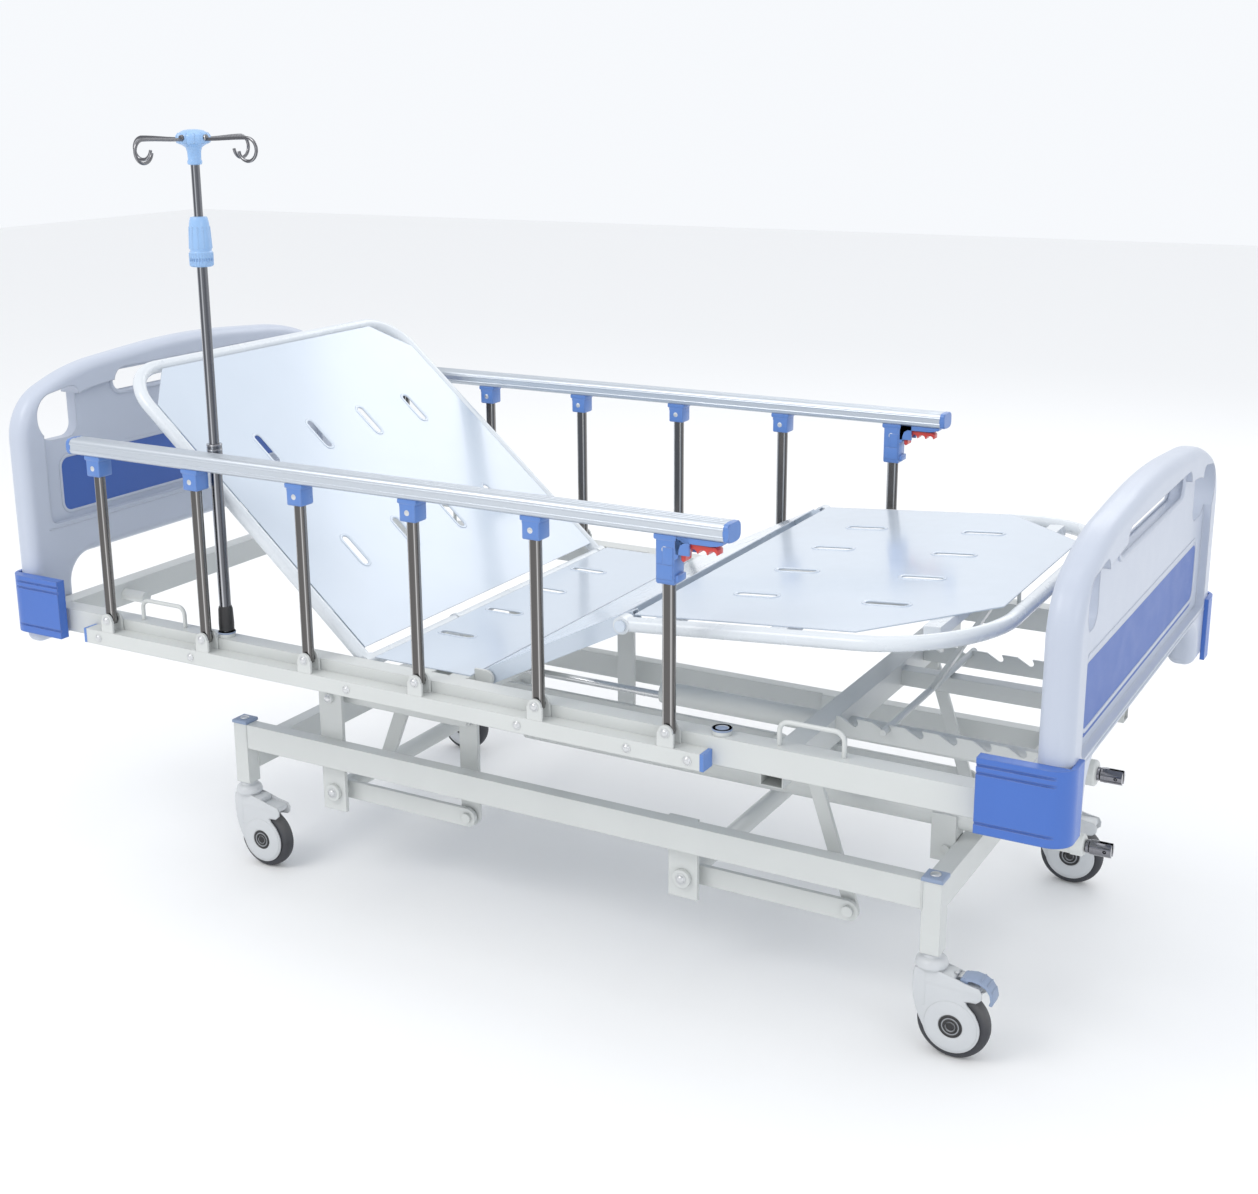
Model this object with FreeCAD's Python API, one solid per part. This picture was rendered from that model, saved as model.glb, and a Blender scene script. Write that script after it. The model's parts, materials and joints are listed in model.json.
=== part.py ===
"""Manual adjustable hospital bed: hi-lo base on casters, lifting bed frame, raised back and
knee sections, folding side rails and a drip pole.

Millimetres, +Z up, +X towards the foot end, -Y the near side. The model is built with x = 0
midway between the base legs and y = 0 on the bed's centre plane, then moved as a whole so that
the origin is on the floor under the middle of its bounding box. One STEP per piece goes to parts/.
"""
import FreeCAD, Part
import os
from math import acos, asin, atan2, cos, degrees, pi, radians, sin, sqrt

V = FreeCAD.Vector

# ---------------------------------------------------------------- driving dimensions (mm)
RUN = 0.05                 # radial clearance of a pin in its hole
GAP = 0.5                  # clearance between faces that pass each other

# base
LEG_SPACING = 1427.0       # centre to centre of the legs along the bed
BASE_HALF = 370.0          # outer faces of the base side rails
BASE_TOP = 300.0
BASE_RAIL_W = 27.0
BASE_RAIL_H = 50.0
LEG_W = 32.0
LEG_BOTTOM = 174.0
TUBE_WALL = 2.0

# casters
WHEEL_D = 120.0
WHEEL_W = 28.0
WHEEL_TRAIL = 41.0         # wheel axle behind the swivel axis
STEM_D = 16.0
AXLE_D = 10.0

# lift mechanism
ARM = 295.0                # lift arm, shaft to bolt
SHAFT_Z = 188.0
HEAD_SHAFT_X = -503.0
FOOT_SHAFT_X = 260.0
SHAFT_D = 25.0
TORSION_D = 34.0
TIE_RISE = 195.0           # the tie bar's pins above the arm's pins
LIFT_DEG = 43.0
ARM_Y = 315.0              # mid plane of the arms and tie bars
ARM_T = 8.0
LINK_Y = 302.0             # mid plane of hangers and foot links
LINK_T = 8.0
PIN_D = 12.0
LIFT_CRANK_Y = -190.0
LIFT_LEVER = 150.0
TIE_ROD_Y = 70.0
TIE_LEVER = 110.0
FOOT_LINK = 246.0          # foot link, bolt to bolt
FOOT_LINK_LEAN = 18.5      # degrees from upright, top towards the head

# bed frame
FRAME_TOP = 518.0
FRAME_HALF = 475.0         # outer faces of the side rails
FRAME_W = 38.0
FRAME_H = 47.0
HEADBOARD_X = -1150.0      # mid plane of the headboard
FOOTBOARD_X = 918.0
SEAT_CROSS_X = -208.0
THIGH_CROSS_X = -135.0
MID_CROSS_X = 465.0
MID_CROSS_TOP = 482.0
RACK_Y = 215.0
RACK_TOP = 487.0
RACK_H = 34.0
NOTCH_PITCH = 57.0
NOTCH_X = 518.0            # first notch
NOTCH_COUNT = 6
NOTCH_D = 14.0

# boards
BOARD_OVER = 10.0          # boards wider than the frame, each side
BOARD_HALF = FRAME_HALF + BOARD_OVER
BOARD_T = 52.0
BOARD_RIM = 54.0
BUMPER_OUT = 8.0           # bumper face beyond the board face
BOARD_WEB = 24.0
HEADBOARD_TOP = 1004.0
FOOTBOARD_TOP = 914.0
BOARD_BOTTOM = 462.0
BOARD_LEG_W = 100.0
BOARD_SHOULDER = 155.0     # where the top edge bends, in from the board's side
BOARD_CROWN_R = 1900.0     # radius of the top edge at its middle
GRIP_MARGIN = 41.0         # solid board beside a grip
GRIP_IN = 155.0            # grip's inner end, in from the board's side
OVAL_MARGIN = 255.0        # board beside the long oval opening
PANEL_MARGIN = 100.0       # board beside its coloured panel
PANEL_HALF = BOARD_HALF - PANEL_MARGIN
PANEL_H = 116.0
HEADBOARD_PANEL_DROP = 320.0   # panel's lower edge below the board's top
FOOTBOARD_PANEL_DROP = 330.0

# back, thigh and leg sections
BACK_X = -345.0
BACK_Z = 505.0
BACK_DEG = 41.0            # raised angle as stored
BACK_LEN = 757.0
BACK_REST_DEG = 2.2        # lowest angle, its loop just above the head cross tube
BACK_MAX_DEG = 75.0
LOOP_D = 25.0
LOOP_INSET = 54.0          # loop's centre line inside the frame's outer face
LOOP_Y = FRAME_HALF - LOOP_INSET
DECK_INSET = 65.0          # deck's edge inside the frame's outer face
DECK_HALF = FRAME_HALF - DECK_INSET
DECK_T = 2.0
BACK_LEVER = 70.0
BACK_CRANK_Y = -150.0
THIGH_X = -92.0
THIGH_Z = 515.0
THIGH_LEN = 318.0
THIGH_INSET = 71.0         # thigh tube's outer face inside the frame's outer face
THIGH_HALF = FRAME_HALF - THIGH_INSET
THIGH_DEG = 27.3
THIGH_LIFT_DEG = 10.0
LEG_DEG = 4.5
LEG_LEN = 605.0
SLOT_L = 74.0
SLOT_W = 18.0
PROP_U = 500.0             # prop hinge along the leg section
PROP_ROD_D = 12.0

# side rails
POST_PITCH = 245.0
POST_FOOT_X = 310.0        # the post nearest the foot end
POST_COUNT = 6
POST_OUT = 16.0            # post's mid plane beyond the frame's outer face
POST_Y = FRAME_HALF + POST_OUT
POST_W = 22.0
POST_T = 16.0
POST_PIN_Z = 521.0
POST_TOP_Z = 824.0
CHANNEL_DEPTH = 31.0
CHANNEL_H = 29.0
CHANNEL_TOP = 497.0
CHANNEL_X0 = -972.0
CHANNEL_X1 = 372.0
TOP_RAIL_Z = 847.0         # underside of the hand rail
TOP_RAIL_H = 30.0
TOP_RAIL_W = 42.0
TOP_RAIL_X0 = -966.0
TOP_RAIL_X1 = 412.0
RAIL_FOLD_DEG = 80.0

# drip pole
POLE_X = -650.0
POLE_FOOT_X = 387.0
POLE_D = 22.0
POLE_MID_D = 19.0
POLE_TOP_D = 16.0
POLE_JOIN_Z = 868.0
POLE_CLAMP_Z = 1212.0
POLE_HUB_Z = 1436.0
HOOK_REACH = 146.0
HOOK_WIRE = 6.0
HOOK_LOOP = 20.0

# the whole model is moved by these so that its origin is under the middle of its box
X_MIN = HEADBOARD_X - BOARD_T / 2 - BUMPER_OUT
X_MAX = FOOTBOARD_X + BOARD_T / 2 + BUMPER_OUT
Y_MIN = -(FRAME_HALF - FRAME_W / 2) - HOOK_REACH
Y_MAX = FRAME_HALF + CHANNEL_DEPTH + 5.0
ORIGIN = V((X_MIN + X_MAX) / 2, (Y_MIN + Y_MAX) / 2, 0)

# worked-out places
LEG_X = LEG_SPACING / 2
HEAD_BOLT_X = HEAD_SHAFT_X + ARM
FOOT_BOLT_X = FOOT_SHAFT_X + ARM
PLATE_Y = BASE_HALF - BASE_RAIL_W          # inner faces of the base rails
RAIL_IN = FRAME_HALF - FRAME_W             # inner faces of the frame rails
LINK_TOP_X = FOOT_BOLT_X - FOOT_LINK * sin(radians(FOOT_LINK_LEAN))
LINK_TOP_Z = SHAFT_Z + FOOT_LINK * cos(radians(FOOT_LINK_LEAN))
LEVER_LEAN = LIFT_DEG / 2
LEVER_X = HEAD_SHAFT_X + LIFT_LEVER * sin(radians(LEVER_LEAN))
LEVER_Z = SHAFT_Z + LIFT_LEVER * cos(radians(LEVER_LEAN))
LIFT_CRANK_Z = (LEVER_Z + SHAFT_Z + LIFT_LEVER) / 2
BACK_LEVER_DEG = BACK_MAX_DEG / 2 - BACK_DEG     # from straight down, + towards the foot
BACK_PIN_X = BACK_X + BACK_LEVER * sin(radians(BACK_LEVER_DEG))
BACK_PIN_Z = BACK_Z - BACK_LEVER * cos(radians(BACK_LEVER_DEG))
BACK_CRANK_Z = BACK_Z - BACK_LEVER * (1 + cos(radians(BACK_MAX_DEG / 2))) / 2
KNEE_X = THIGH_X + THIGH_LEN * cos(radians(THIGH_DEG))
KNEE_Z = THIGH_Z + THIGH_LEN * sin(radians(THIGH_DEG))
ROD_X = NOTCH_X + NOTCH_PITCH
ROD_Z = RACK_TOP - NOTCH_D + PROP_ROD_D / 2 + 0.4
PROP_X = KNEE_X + PROP_U * cos(radians(LEG_DEG)) + 22 * sin(radians(LEG_DEG))
PROP_Z = KNEE_Z + PROP_U * sin(radians(LEG_DEG)) - 22 * cos(radians(LEG_DEG))


# ---------------------------------------------------------------- shape helpers
def box(x0, x1, y0, y1, z0, z1):
    """Box between two corners."""
    return Part.makeBox(x1 - x0, y1 - y0, z1 - z0, V(x0, y0, z0))


def cyl(at, axis, r, length):
    """Cylinder from a point along an axis."""
    return Part.makeCylinder(r, length, V(*at), V(*axis))


def cyl_y(x, z, r, y0, y1):
    """Cylinder along Y."""
    return cyl((x, y0, z), (0, 1, 0), r, y1 - y0)


def cyl_x(y, z, r, x0, x1):
    """Cylinder along X."""
    return cyl((x0, y, z), (1, 0, 0), r, x1 - x0)


def cyl_z(x, y, r, z0, z1):
    """Cylinder along Z."""
    return cyl((x, y, z0), (0, 0, 1), r, z1 - z0)


def tube_z(x, y, r, wall, z0, z1):
    """Round tube along Z."""
    return cyl_z(x, y, r, z0, z1).cut(cyl_z(x, y, r - wall, z0 - 1, z1 + 1))


def rect_tube_x(x0, x1, y0, y1, z0, z1, wall=TUBE_WALL):
    """Rectangular tube along X, open at its ends."""
    return box(x0, x1, y0, y1, z0, z1).cut(
        box(x0 - 1, x1 + 1, y0 + wall, y1 - wall, z0 + wall, z1 - wall))


def rect_tube_y(x0, x1, y0, y1, z0, z1, wall=TUBE_WALL):
    """Rectangular tube along Y, open at its ends."""
    return box(x0, x1, y0, y1, z0, z1).cut(
        box(x0 + wall, x1 - wall, y0 - 1, y1 + 1, z0 + wall, z1 - wall))


def rect_tube_z(x0, x1, y0, y1, z0, z1, wall=TUBE_WALL):
    """Rectangular tube along Z, open at its ends."""
    return box(x0, x1, y0, y1, z0, z1).cut(
        box(x0 + wall, x1 - wall, y0 + wall, y1 - wall, z0 - 1, z1 + 1))


def prism(points, depth, axis="y", start=0.0):
    """Closed outline pushed along an axis. Points are (x, z) for axis y, (y, z) for axis x."""
    if axis == "y":
        corners = [V(a, start, b) for a, b in points]
        push = V(0, depth, 0)
    else:
        corners = [V(start, a, b) for a, b in points]
        push = V(depth, 0, 0)
    return Part.Face(Part.makePolygon(corners + corners[:1])).extrude(push)


def strap(p0, p1, width, y0, y1, holes=()):
    """Flat bar with round ends between two (x, z) centres, with (radius) holes at both ends."""
    (xa, za), (xb, zb) = p0, p1
    length = sqrt((xb - xa) ** 2 + (zb - za) ** 2)
    bar = Part.makeBox(length, y1 - y0, width, V(0, y0, -width / 2))
    bar.rotate(V(0, 0, 0), V(0, 1, 0), -degrees(atan2(zb - za, xb - xa)))
    bar.translate(V(xa, 0, za))
    bar = bar.fuse([cyl_y(xa, za, width / 2, y0, y1), cyl_y(xb, zb, width / 2, y0, y1)])
    for (x, z), r in zip((p0, p1), holes):
        if r:
            bar = bar.cut(cyl_y(x, z, r, y0 - 1, y1 + 1))
    return bar.removeSplitter()


def mirror_y(shape):
    """The same piece on the other side of the bed."""
    return shape.mirror(V(0, 0, 0), V(0, 1, 0))


def both(shape):
    """The piece and its mirror image."""
    return [shape, mirror_y(shape)]


def turned(shape, x, z, angle):
    """Turn about a line along Y through (x, z); positive takes +Z towards +X."""
    copy = shape.copy()
    copy.rotate(V(x, 0, z), V(0, 1, 0), angle)
    return copy


def group(pieces):
    """Separate solids kept in one node."""
    solids = []
    for piece in pieces:
        solids += piece.Solids
    return Part.Compound(solids)


def wire_sweep(edges, r):
    """Round bar of radius r along a chain of tangent edges."""
    wire = Part.Wire(edges)
    first = wire.OrderedEdges[0]
    start = wire.OrderedVertexes[0].Point
    at = first.FirstParameter if first.valueAt(first.FirstParameter).distanceToPoint(start) < 1e-6 \
        else first.LastParameter
    ring = Part.Wire(Part.makeCircle(r, start, first.tangentAt(at)))
    sweep = Part.BRepOffsetAPI.MakePipeShell(wire)
    sweep.setFrenetMode(True)
    sweep.add(ring)
    sweep.build()
    sweep.makeSolid()
    return sweep.shape()


def rounded_path(points, radii):
    """Edges through the points with an arc of the given radius at each inner corner."""
    points = [V(*p) for p in points]
    edges = []
    here = points[0]
    for before, corner, after, radius in zip(points, points[1:], points[2:], radii):
        a = (before - corner).normalize()
        b = (after - corner).normalize()
        half = acos(max(-1, min(1, a.dot(b)))) / 2
        reach = radius / (sin(half) / cos(half))
        start = corner + a * reach
        end = corner + b * reach
        middle = corner + (a + b).normalize() * (radius / sin(half) - radius)
        edges.append(Part.makeLine(here, start))
        edges.append(Part.Arc(start, middle, end).toShape())
        here = end
    edges.append(Part.makeLine(here, points[-1]))
    return edges


def slot_cutter(u, y, z0, z1, length=SLOT_L, width=SLOT_W):
    """Long round-ended slot along X, centred on (u, y)."""
    half = (length - width) / 2
    cutter = box(u - half, u + half, y - width / 2, y + width / 2, z0, z1)
    for end in (u - half, u + half):
        cutter = cutter.fuse(cyl_z(end, y, width / 2, z0, z1))
    return cutter


def bolt_y(x, z, r, y0, y1, head):
    """Plain bolt along Y with a round head at both ends."""
    return cyl_y(x, z, r, y0, y1).fuse(
        [cyl_y(x, z, r * 1.6, y0 - head, y0), cyl_y(x, z, r * 1.6, y1, y1 + head)])


# ---------------------------------------------------------------- base
def side_plate(x, z_top, half):
    """Bearing plate on the inner face of a base rail, near side up to the mirror."""
    plate = box(x - half, x + half, PLATE_Y - 8, PLATE_Y, 150, z_top)
    return plate.cut(cyl_y(x, SHAFT_Z, SHAFT_D / 2 + RUN, PLATE_Y - 9, PLATE_Y + 1))


def crank_saddle():
    """Bracket on the foot cross tube that carries the lift crank tube."""
    y = LIFT_CRANK_Y
    x1 = LEG_X - LEG_W / 2
    cheeks = [box(x1 - 42, x1, y - 21, y - 17, 262, 345), box(x1 - 42, x1, y + 17, y + 21, 262, 345)]
    saddle = box(x1 - 42, x1, y - 17, y + 17, LIFT_CRANK_Z - 30, LIFT_CRANK_Z - 6)
    bolt = bolt_y(x1 - 16, 284, 5, y - 21, y + 21, 4)
    shape = cheeks[0].fuse([cheeks[1], saddle, bolt])
    return shape.cut(cyl_x(y, LIFT_CRANK_Z, 17, x1 - 60, x1 + 20))


def base_frame():
    """Welded tube frame with its four legs, bearing plates and crank saddle."""
    z0 = BASE_TOP - BASE_RAIL_H
    leg_in = BASE_HALF - LEG_W
    end = LEG_X - LEG_W / 2
    parts = []
    for side in (-1, 1):
        y0, y1 = sorted((side * PLATE_Y, side * BASE_HALF))
        parts.append(rect_tube_x(-end, end, y0, y1, z0, BASE_TOP))
        for x in (-LEG_X, LEG_X):
            y0, y1 = sorted((side * leg_in, side * BASE_HALF))
            parts.append(rect_tube_z(x - LEG_W / 2, x + LEG_W / 2, y0, y1, LEG_BOTTOM, BASE_TOP))
    parts.append(rect_tube_y(end, LEG_X + LEG_W / 2, -leg_in, leg_in, z0, BASE_TOP))
    parts.append(rect_tube_y(-LEG_X - LEG_W / 2, -end, -leg_in, leg_in, z0 - 50, z0))
    tall = side_plate(HEAD_SHAFT_X, SHAFT_Z + TIE_RISE + 27, 27)
    pin = cyl_y(HEAD_SHAFT_X, SHAFT_Z + TIE_RISE, PIN_D / 2, ARM_Y - 11, PLATE_Y)
    pin = pin.fuse([cyl_y(HEAD_SHAFT_X, SHAFT_Z + TIE_RISE, 10, ARM_Y - 11, ARM_Y - 4.5),
                    cyl_y(HEAD_SHAFT_X, SHAFT_Z + TIE_RISE, 10, ARM_Y + 4.5, PLATE_Y - 8),
                    cyl_y(HEAD_SHAFT_X, SHAFT_Z + TIE_RISE, 10, PLATE_Y, PLATE_Y + 6)])
    tall = tall.fuse(pin)
    short = side_plate(FOOT_SHAFT_X, BASE_TOP, 28)
    parts += both(tall) + both(short)
    parts.append(crank_saddle())
    return group(parts)


def base_fittings():
    """Plastic leg caps and the caster sockets pressed in the leg ends."""
    pieces = []
    mid = BASE_HALF - LEG_W / 2
    for x in (-LEG_X, LEG_X):
        cap = box(x - 18, x + 18, mid - 18, mid + 18, BASE_TOP, BASE_TOP + 7)
        cap = cap.makeFillet(3, [e for e in cap.Edges if e.BoundBox.ZMin > BASE_TOP + 6])
        half = LEG_W / 2 - TUBE_WALL
        plug = box(x - half, x + half, mid - half, mid + half, LEG_BOTTOM, LEG_BOTTOM + 42)
        plug = plug.cut(cyl_z(x, mid, STEM_D / 2 + RUN, LEG_BOTTOM - 1, LEG_BOTTOM + 43))
        pieces += both(cap) + both(plug)
    return group(pieces)


def lift_crank_tube():
    """Guard tube of the lift screw with the bush at its foot end."""
    y = LIFT_CRANK_Y
    tube = cyl_x(y, LIFT_CRANK_Z, 17, -150, 900).cut(cyl_x(y, LIFT_CRANK_Z, 14.5, -151, 901))
    bush = cyl_x(y, LIFT_CRANK_Z, 14.5, 876, 900).cut(cyl_x(y, LIFT_CRANK_Z, 7 + RUN, 875, 901))
    return group([tube, bush])


def crank_screw(y, z, x0, x1):
    """Screw shaft with the forked socket its folding handle plugs into."""
    shaft = cyl_x(y, z, 7, x0, x1 - 30)
    fork = cyl_x(y, z, 12, x1 - 34, x1)
    fork = fork.cut(box(x1 - 22, x1 + 1, y - 4, y + 4, z - 20, z + 20))
    fork = fork.cut(cyl((x1 - 10, y - 20, z), (0, 1, 0), 3, 40))
    return shaft.fuse(fork).removeSplitter()


# ---------------------------------------------------------------- casters
def caster_housing(x, y, pedal):
    """Swivel fork with its stem, collar, wheel cheeks and axle."""
    stem = cyl_z(x, y, STEM_D / 2, 140, LEG_BOTTOM + 38)
    collar = Part.makeCone(25, 17, 26, V(x, y, 145), V(0, 0, 1))
    plate = cyl_z(x, y, 14, 171, LEG_BOTTOM - GAP)
    half = WHEEL_W / 2 + 1
    parts = [collar, plate, box(x - 18, x + 42, y - half - 4, y + half + 4, 125, 147)]
    top = (x + 4, 128)
    axle = (x + WHEEL_TRAIL, WHEEL_D / 2)
    for y0 in (y - half - 4, y + half):
        parts.append(strap(top, axle, 42, y0, y0 + 4))
    parts.append(cyl_y(axle[0], axle[1], AXLE_D / 2, y - half - 6, y + half + 6))
    if pedal:
        for y0 in (y - half - 4, y + half):
            parts.append(box(x + 40, x + 66, y0, y0 + 4, 130, 147))
        parts.append(cyl_y(x + 58, 138, 3, y - half - 4, y + half + 4))
    return stem.fuse(parts)


def caster_wheel(x, y):
    """Tyred wheel with a plain bore."""
    ax = x + WHEEL_TRAIL
    az = WHEEL_D / 2
    half = WHEEL_W / 2
    wheel = cyl_y(ax, az, az, y - half, y + half)
    rims = [e for e in wheel.Edges if e.Curve.TypeId == "Part::GeomCircle"]
    wheel = wheel.makeFillet(6, rims)
    for y0, y1 in ((y - half - 1, y - half + 4), (y + half - 4, y + half + 1)):
        wheel = wheel.cut(cyl_y(ax, az, 40, y0, y1).cut(cyl_y(ax, az, 14, y0 - 1, y1 + 1)))
    return wheel.cut(cyl_y(ax, az, AXLE_D / 2 + RUN, y - half - 1, y + half + 1))


def brake_pedal(x, y):
    """Foot pedal hinged between the lugs of a caster."""
    hub = cyl_y(x + 58, 138, 7, y - 14.5, y + 14.5)
    plate = box(x + 60, x + 104, y - 14.5, y + 14.5, 137, 143)
    toe = box(x + 70, x + 104, y - 20, y + 20, 137, 143)
    toe = toe.makeFillet(8, [e for e in toe.Edges if e.BoundBox.ZLength > 5 and e.BoundBox.XMin > x + 90])
    return hub.fuse([plate, toe]).cut(cyl_y(x + 58, 138, 3 + RUN, y - 30, y + 30))


# ---------------------------------------------------------------- lift mechanism
def arm_set(x, levers):
    """Torsion tube with an arm at each end; levers are fused on."""
    y_arm = ARM_Y - ARM_T / 2
    parts = []
    for side in (-1, 1):
        y0, y1 = sorted((side * y_arm, side * (y_arm + ARM_T)))
        parts.append(strap((x, SHAFT_Z), (x + ARM, SHAFT_Z), 36, y0, y1, (0, PIN_D / 2 + RUN)))
        y0, y1 = sorted((side * (y_arm + ARM_T), side * (PLATE_Y - 8 - GAP)))
        parts.append(cyl_y(x, SHAFT_Z, 17, y0, y1))
        y0, y1 = sorted((side * y_arm, side * (PLATE_Y + 8)))
        parts.append(cyl_y(x, SHAFT_Z, SHAFT_D / 2, y0, y1))
        y0, y1 = sorted((side * (PLATE_Y + GAP), side * (PLATE_Y + 8)))
        parts.append(cyl_y(x, SHAFT_Z, 17, y0, y1))
    tube = cyl_y(x, SHAFT_Z, TORSION_D / 2, -y_arm, y_arm)
    return tube.fuse(parts + levers)


def pinned_lever(p0, p1, y0, y1, pin_to):
    """Lever plate between two (x, z) points with a headed pin standing out of its free end."""
    sign = 1 if pin_to > y1 else -1
    face = y1 if sign > 0 else y0
    lo, hi = sorted((face, pin_to))
    pin = cyl_y(p1[0], p1[1], PIN_D / 2, lo, hi)
    lo, hi = sorted((pin_to, pin_to + sign * 4))
    head = cyl_y(p1[0], p1[1], 9, lo, hi)
    return strap(p0, p1, 30, y0, y1).fuse([pin, head])


def lift_arms_head():
    """Head torsion tube: arms, crank lever and coupling lever."""
    y = LIFT_CRANK_Y
    crank = pinned_lever((HEAD_SHAFT_X, SHAFT_Z), (LEVER_X, LEVER_Z), y + 8, y + 16, y - 8)
    tie = pinned_lever((HEAD_SHAFT_X, SHAFT_Z), (HEAD_SHAFT_X, SHAFT_Z + TIE_LEVER),
                       TIE_ROD_Y - 14, TIE_ROD_Y - 6, TIE_ROD_Y + 6)
    return arm_set(HEAD_SHAFT_X, [crank, tie])


def lift_arms_foot():
    """Foot torsion tube: arms and coupling lever."""
    tie = pinned_lever((FOOT_SHAFT_X, SHAFT_Z), (FOOT_SHAFT_X, SHAFT_Z + TIE_LEVER),
                       TIE_ROD_Y - 14, TIE_ROD_Y - 6, TIE_ROD_Y + 6)
    return arm_set(FOOT_SHAFT_X, [tie])


def lift_tie_rod():
    """Flat bar that makes both torsion tubes turn together."""
    z = SHAFT_Z + TIE_LEVER
    r = PIN_D / 2 + RUN
    return strap((HEAD_SHAFT_X, z), (FOOT_SHAFT_X, z), 26, TIE_ROD_Y - 4, TIE_ROD_Y + 4, (r, r))


def push_rod(x, z, y, x_end, r):
    """Round rod with an eye on a lever pin."""
    rod = cyl_x(y, z, r, x, x_end)
    eye = cyl_y(x, z, 13, y - 6, y + 6)
    return rod.fuse(eye).cut(cyl_y(x, z, PIN_D / 2 + RUN, y - 20, y + 20)).removeSplitter()


def outer_pin(x, z, y0):
    """Headed pin standing outwards from an inner plate through an arm of the outer layer."""
    pin = cyl_y(x, z, PIN_D / 2, y0, ARM_Y + ARM_T / 2 + 6)
    collar = cyl_y(x, z, 10, y0, ARM_Y - ARM_T / 2 - GAP)
    head = cyl_y(x, z, 10, ARM_Y + ARM_T / 2 + GAP, ARM_Y + ARM_T / 2 + 6)
    return pin.fuse([collar, head])


def foot_links():
    """Links between the foot arms and the frame."""
    y0 = LINK_Y - LINK_T / 2
    link = strap((FOOT_BOLT_X, SHAFT_Z), (LINK_TOP_X, LINK_TOP_Z), 24, y0, y0 + LINK_T,
                 (0, PIN_D / 2 + RUN))
    return group(both(link.fuse(outer_pin(FOOT_BOLT_X, SHAFT_Z, y0 + LINK_T))))


def tie_bars():
    """Bars that keep the frame level while it rises."""
    z = SHAFT_Z + TIE_RISE
    y0 = ARM_Y - ARM_T / 2
    r = PIN_D / 2 + RUN
    return group(both(strap((HEAD_SHAFT_X, z), (HEAD_BOLT_X, z), 28, y0, y0 + ARM_T, (r, r))))


# ---------------------------------------------------------------- bed frame
def frame_tubes():
    """Rectangular frame tubes butted at their welds, and the spine under the foot end."""
    z0 = FRAME_TOP - FRAME_H
    x0 = HEADBOARD_X + BOARD_T / 2 + 4
    x1 = FOOTBOARD_X - BOARD_T / 2 - 4
    parts = []
    for side in (-1, 1):
        y0, y1 = sorted((side * RAIL_IN, side * FRAME_HALF))
        parts.append(rect_tube_x(x0, x1, y0, y1, z0, FRAME_TOP))
    for x in (x0 + 19, SEAT_CROSS_X, THIGH_CROSS_X, x1 - 19):
        parts.append(rect_tube_y(x - 19, x + 19, -RAIL_IN, RAIL_IN, z0, FRAME_TOP))
    mid = rect_tube_y(MID_CROSS_X - 20, MID_CROSS_X + 20, -RAIL_IN, RAIL_IN,
                      MID_CROSS_TOP - FRAME_H, MID_CROSS_TOP)
    parts.append(mid)
    parts.append(rect_tube_x(MID_CROSS_X + 20, x1, 96, 126, z0 - 30, z0))
    y = FRAME_HALF - FRAME_W / 2
    cutters = [cyl_x(BACK_CRANK_Y, BACK_CRANK_Z, 20, MID_CROSS_X - 30, MID_CROSS_X + 30)]
    for x in (POLE_X, POLE_FOOT_X):
        for side in (-1, 1):
            cutters.append(cyl_z(x, side * y, POLE_D / 2 + RUN, FRAME_TOP - 5, FRAME_TOP + 5))
    return group([tube.cut(cutters) for tube in parts])


def hanger():
    """Plate from the seat cross tube down to the arm bolt, with the tie bar's pin."""
    y0 = LINK_Y - LINK_T / 2
    plate = box(HEAD_BOLT_X - 20, HEAD_BOLT_X + 20, y0, y0 + LINK_T, SHAFT_Z, FRAME_TOP - FRAME_H)
    foot = cyl_y(HEAD_BOLT_X, SHAFT_Z, 20, y0, y0 + LINK_T)
    return plate.fuse([foot, outer_pin(HEAD_BOLT_X, SHAFT_Z, y0 + LINK_T),
                       outer_pin(HEAD_BOLT_X, SHAFT_Z + TIE_RISE, y0 + LINK_T)])


def foot_ear():
    """Ear under the mid cross tube for a foot link."""
    y0 = LINK_Y - LINK_T / 2 - 14
    z1 = MID_CROSS_TOP - FRAME_H
    ear = box(LINK_TOP_X - 14, LINK_TOP_X + 14, y0, y0 + 8, LINK_TOP_Z, z1)
    pin = cyl_y(LINK_TOP_X, LINK_TOP_Z, PIN_D / 2, y0, y0 + 28)
    spacer = cyl_y(LINK_TOP_X, LINK_TOP_Z, 10, y0, y0 + 14 - GAP)
    head = cyl_y(LINK_TOP_X, LINK_TOP_Z, 10, y0 + 22 + GAP, y0 + 28)
    return ear.fuse([cyl_y(LINK_TOP_X, LINK_TOP_Z, 14, y0, y0 + 8), pin, spacer, head])


def back_pin():
    """Pivot pin of the back section on the inner face of a frame rail."""
    pin = cyl_y(BACK_X, BACK_Z, PIN_D / 2, LOOP_Y - 22, RAIL_IN)
    return pin.fuse(cyl_y(BACK_X, BACK_Z, 10, LOOP_Y + 14, RAIL_IN))


def thigh_ear():
    """Ear on the thigh cross tube with the pivot pin of the thigh section."""
    x0 = THIGH_CROSS_X + 19
    y0 = THIGH_HALF + 3
    ear = box(x0, THIGH_X, y0, y0 + 6, THIGH_Z - 20, THIGH_Z + 14)
    ear = ear.fuse([cyl_y(THIGH_X, THIGH_Z, 14, y0, y0 + 6),
                    cyl_y(THIGH_X, THIGH_Z, 5, THIGH_HALF - 24, y0 + 6),
                    cyl_y(THIGH_X, THIGH_Z, 8, THIGH_HALF - 24, THIGH_HALF - 20 - GAP)])
    return ear


def retainer(x, y):
    """Wire loop that keeps the mattress in place."""
    z = FRAME_TOP
    points = [(x - 54, y, z), (x - 54, y, z + 40), (x + 54, y, z + 40), (x + 54, y, z)]
    return wire_sweep(rounded_path(points, (16, 16)), 4)


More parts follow.
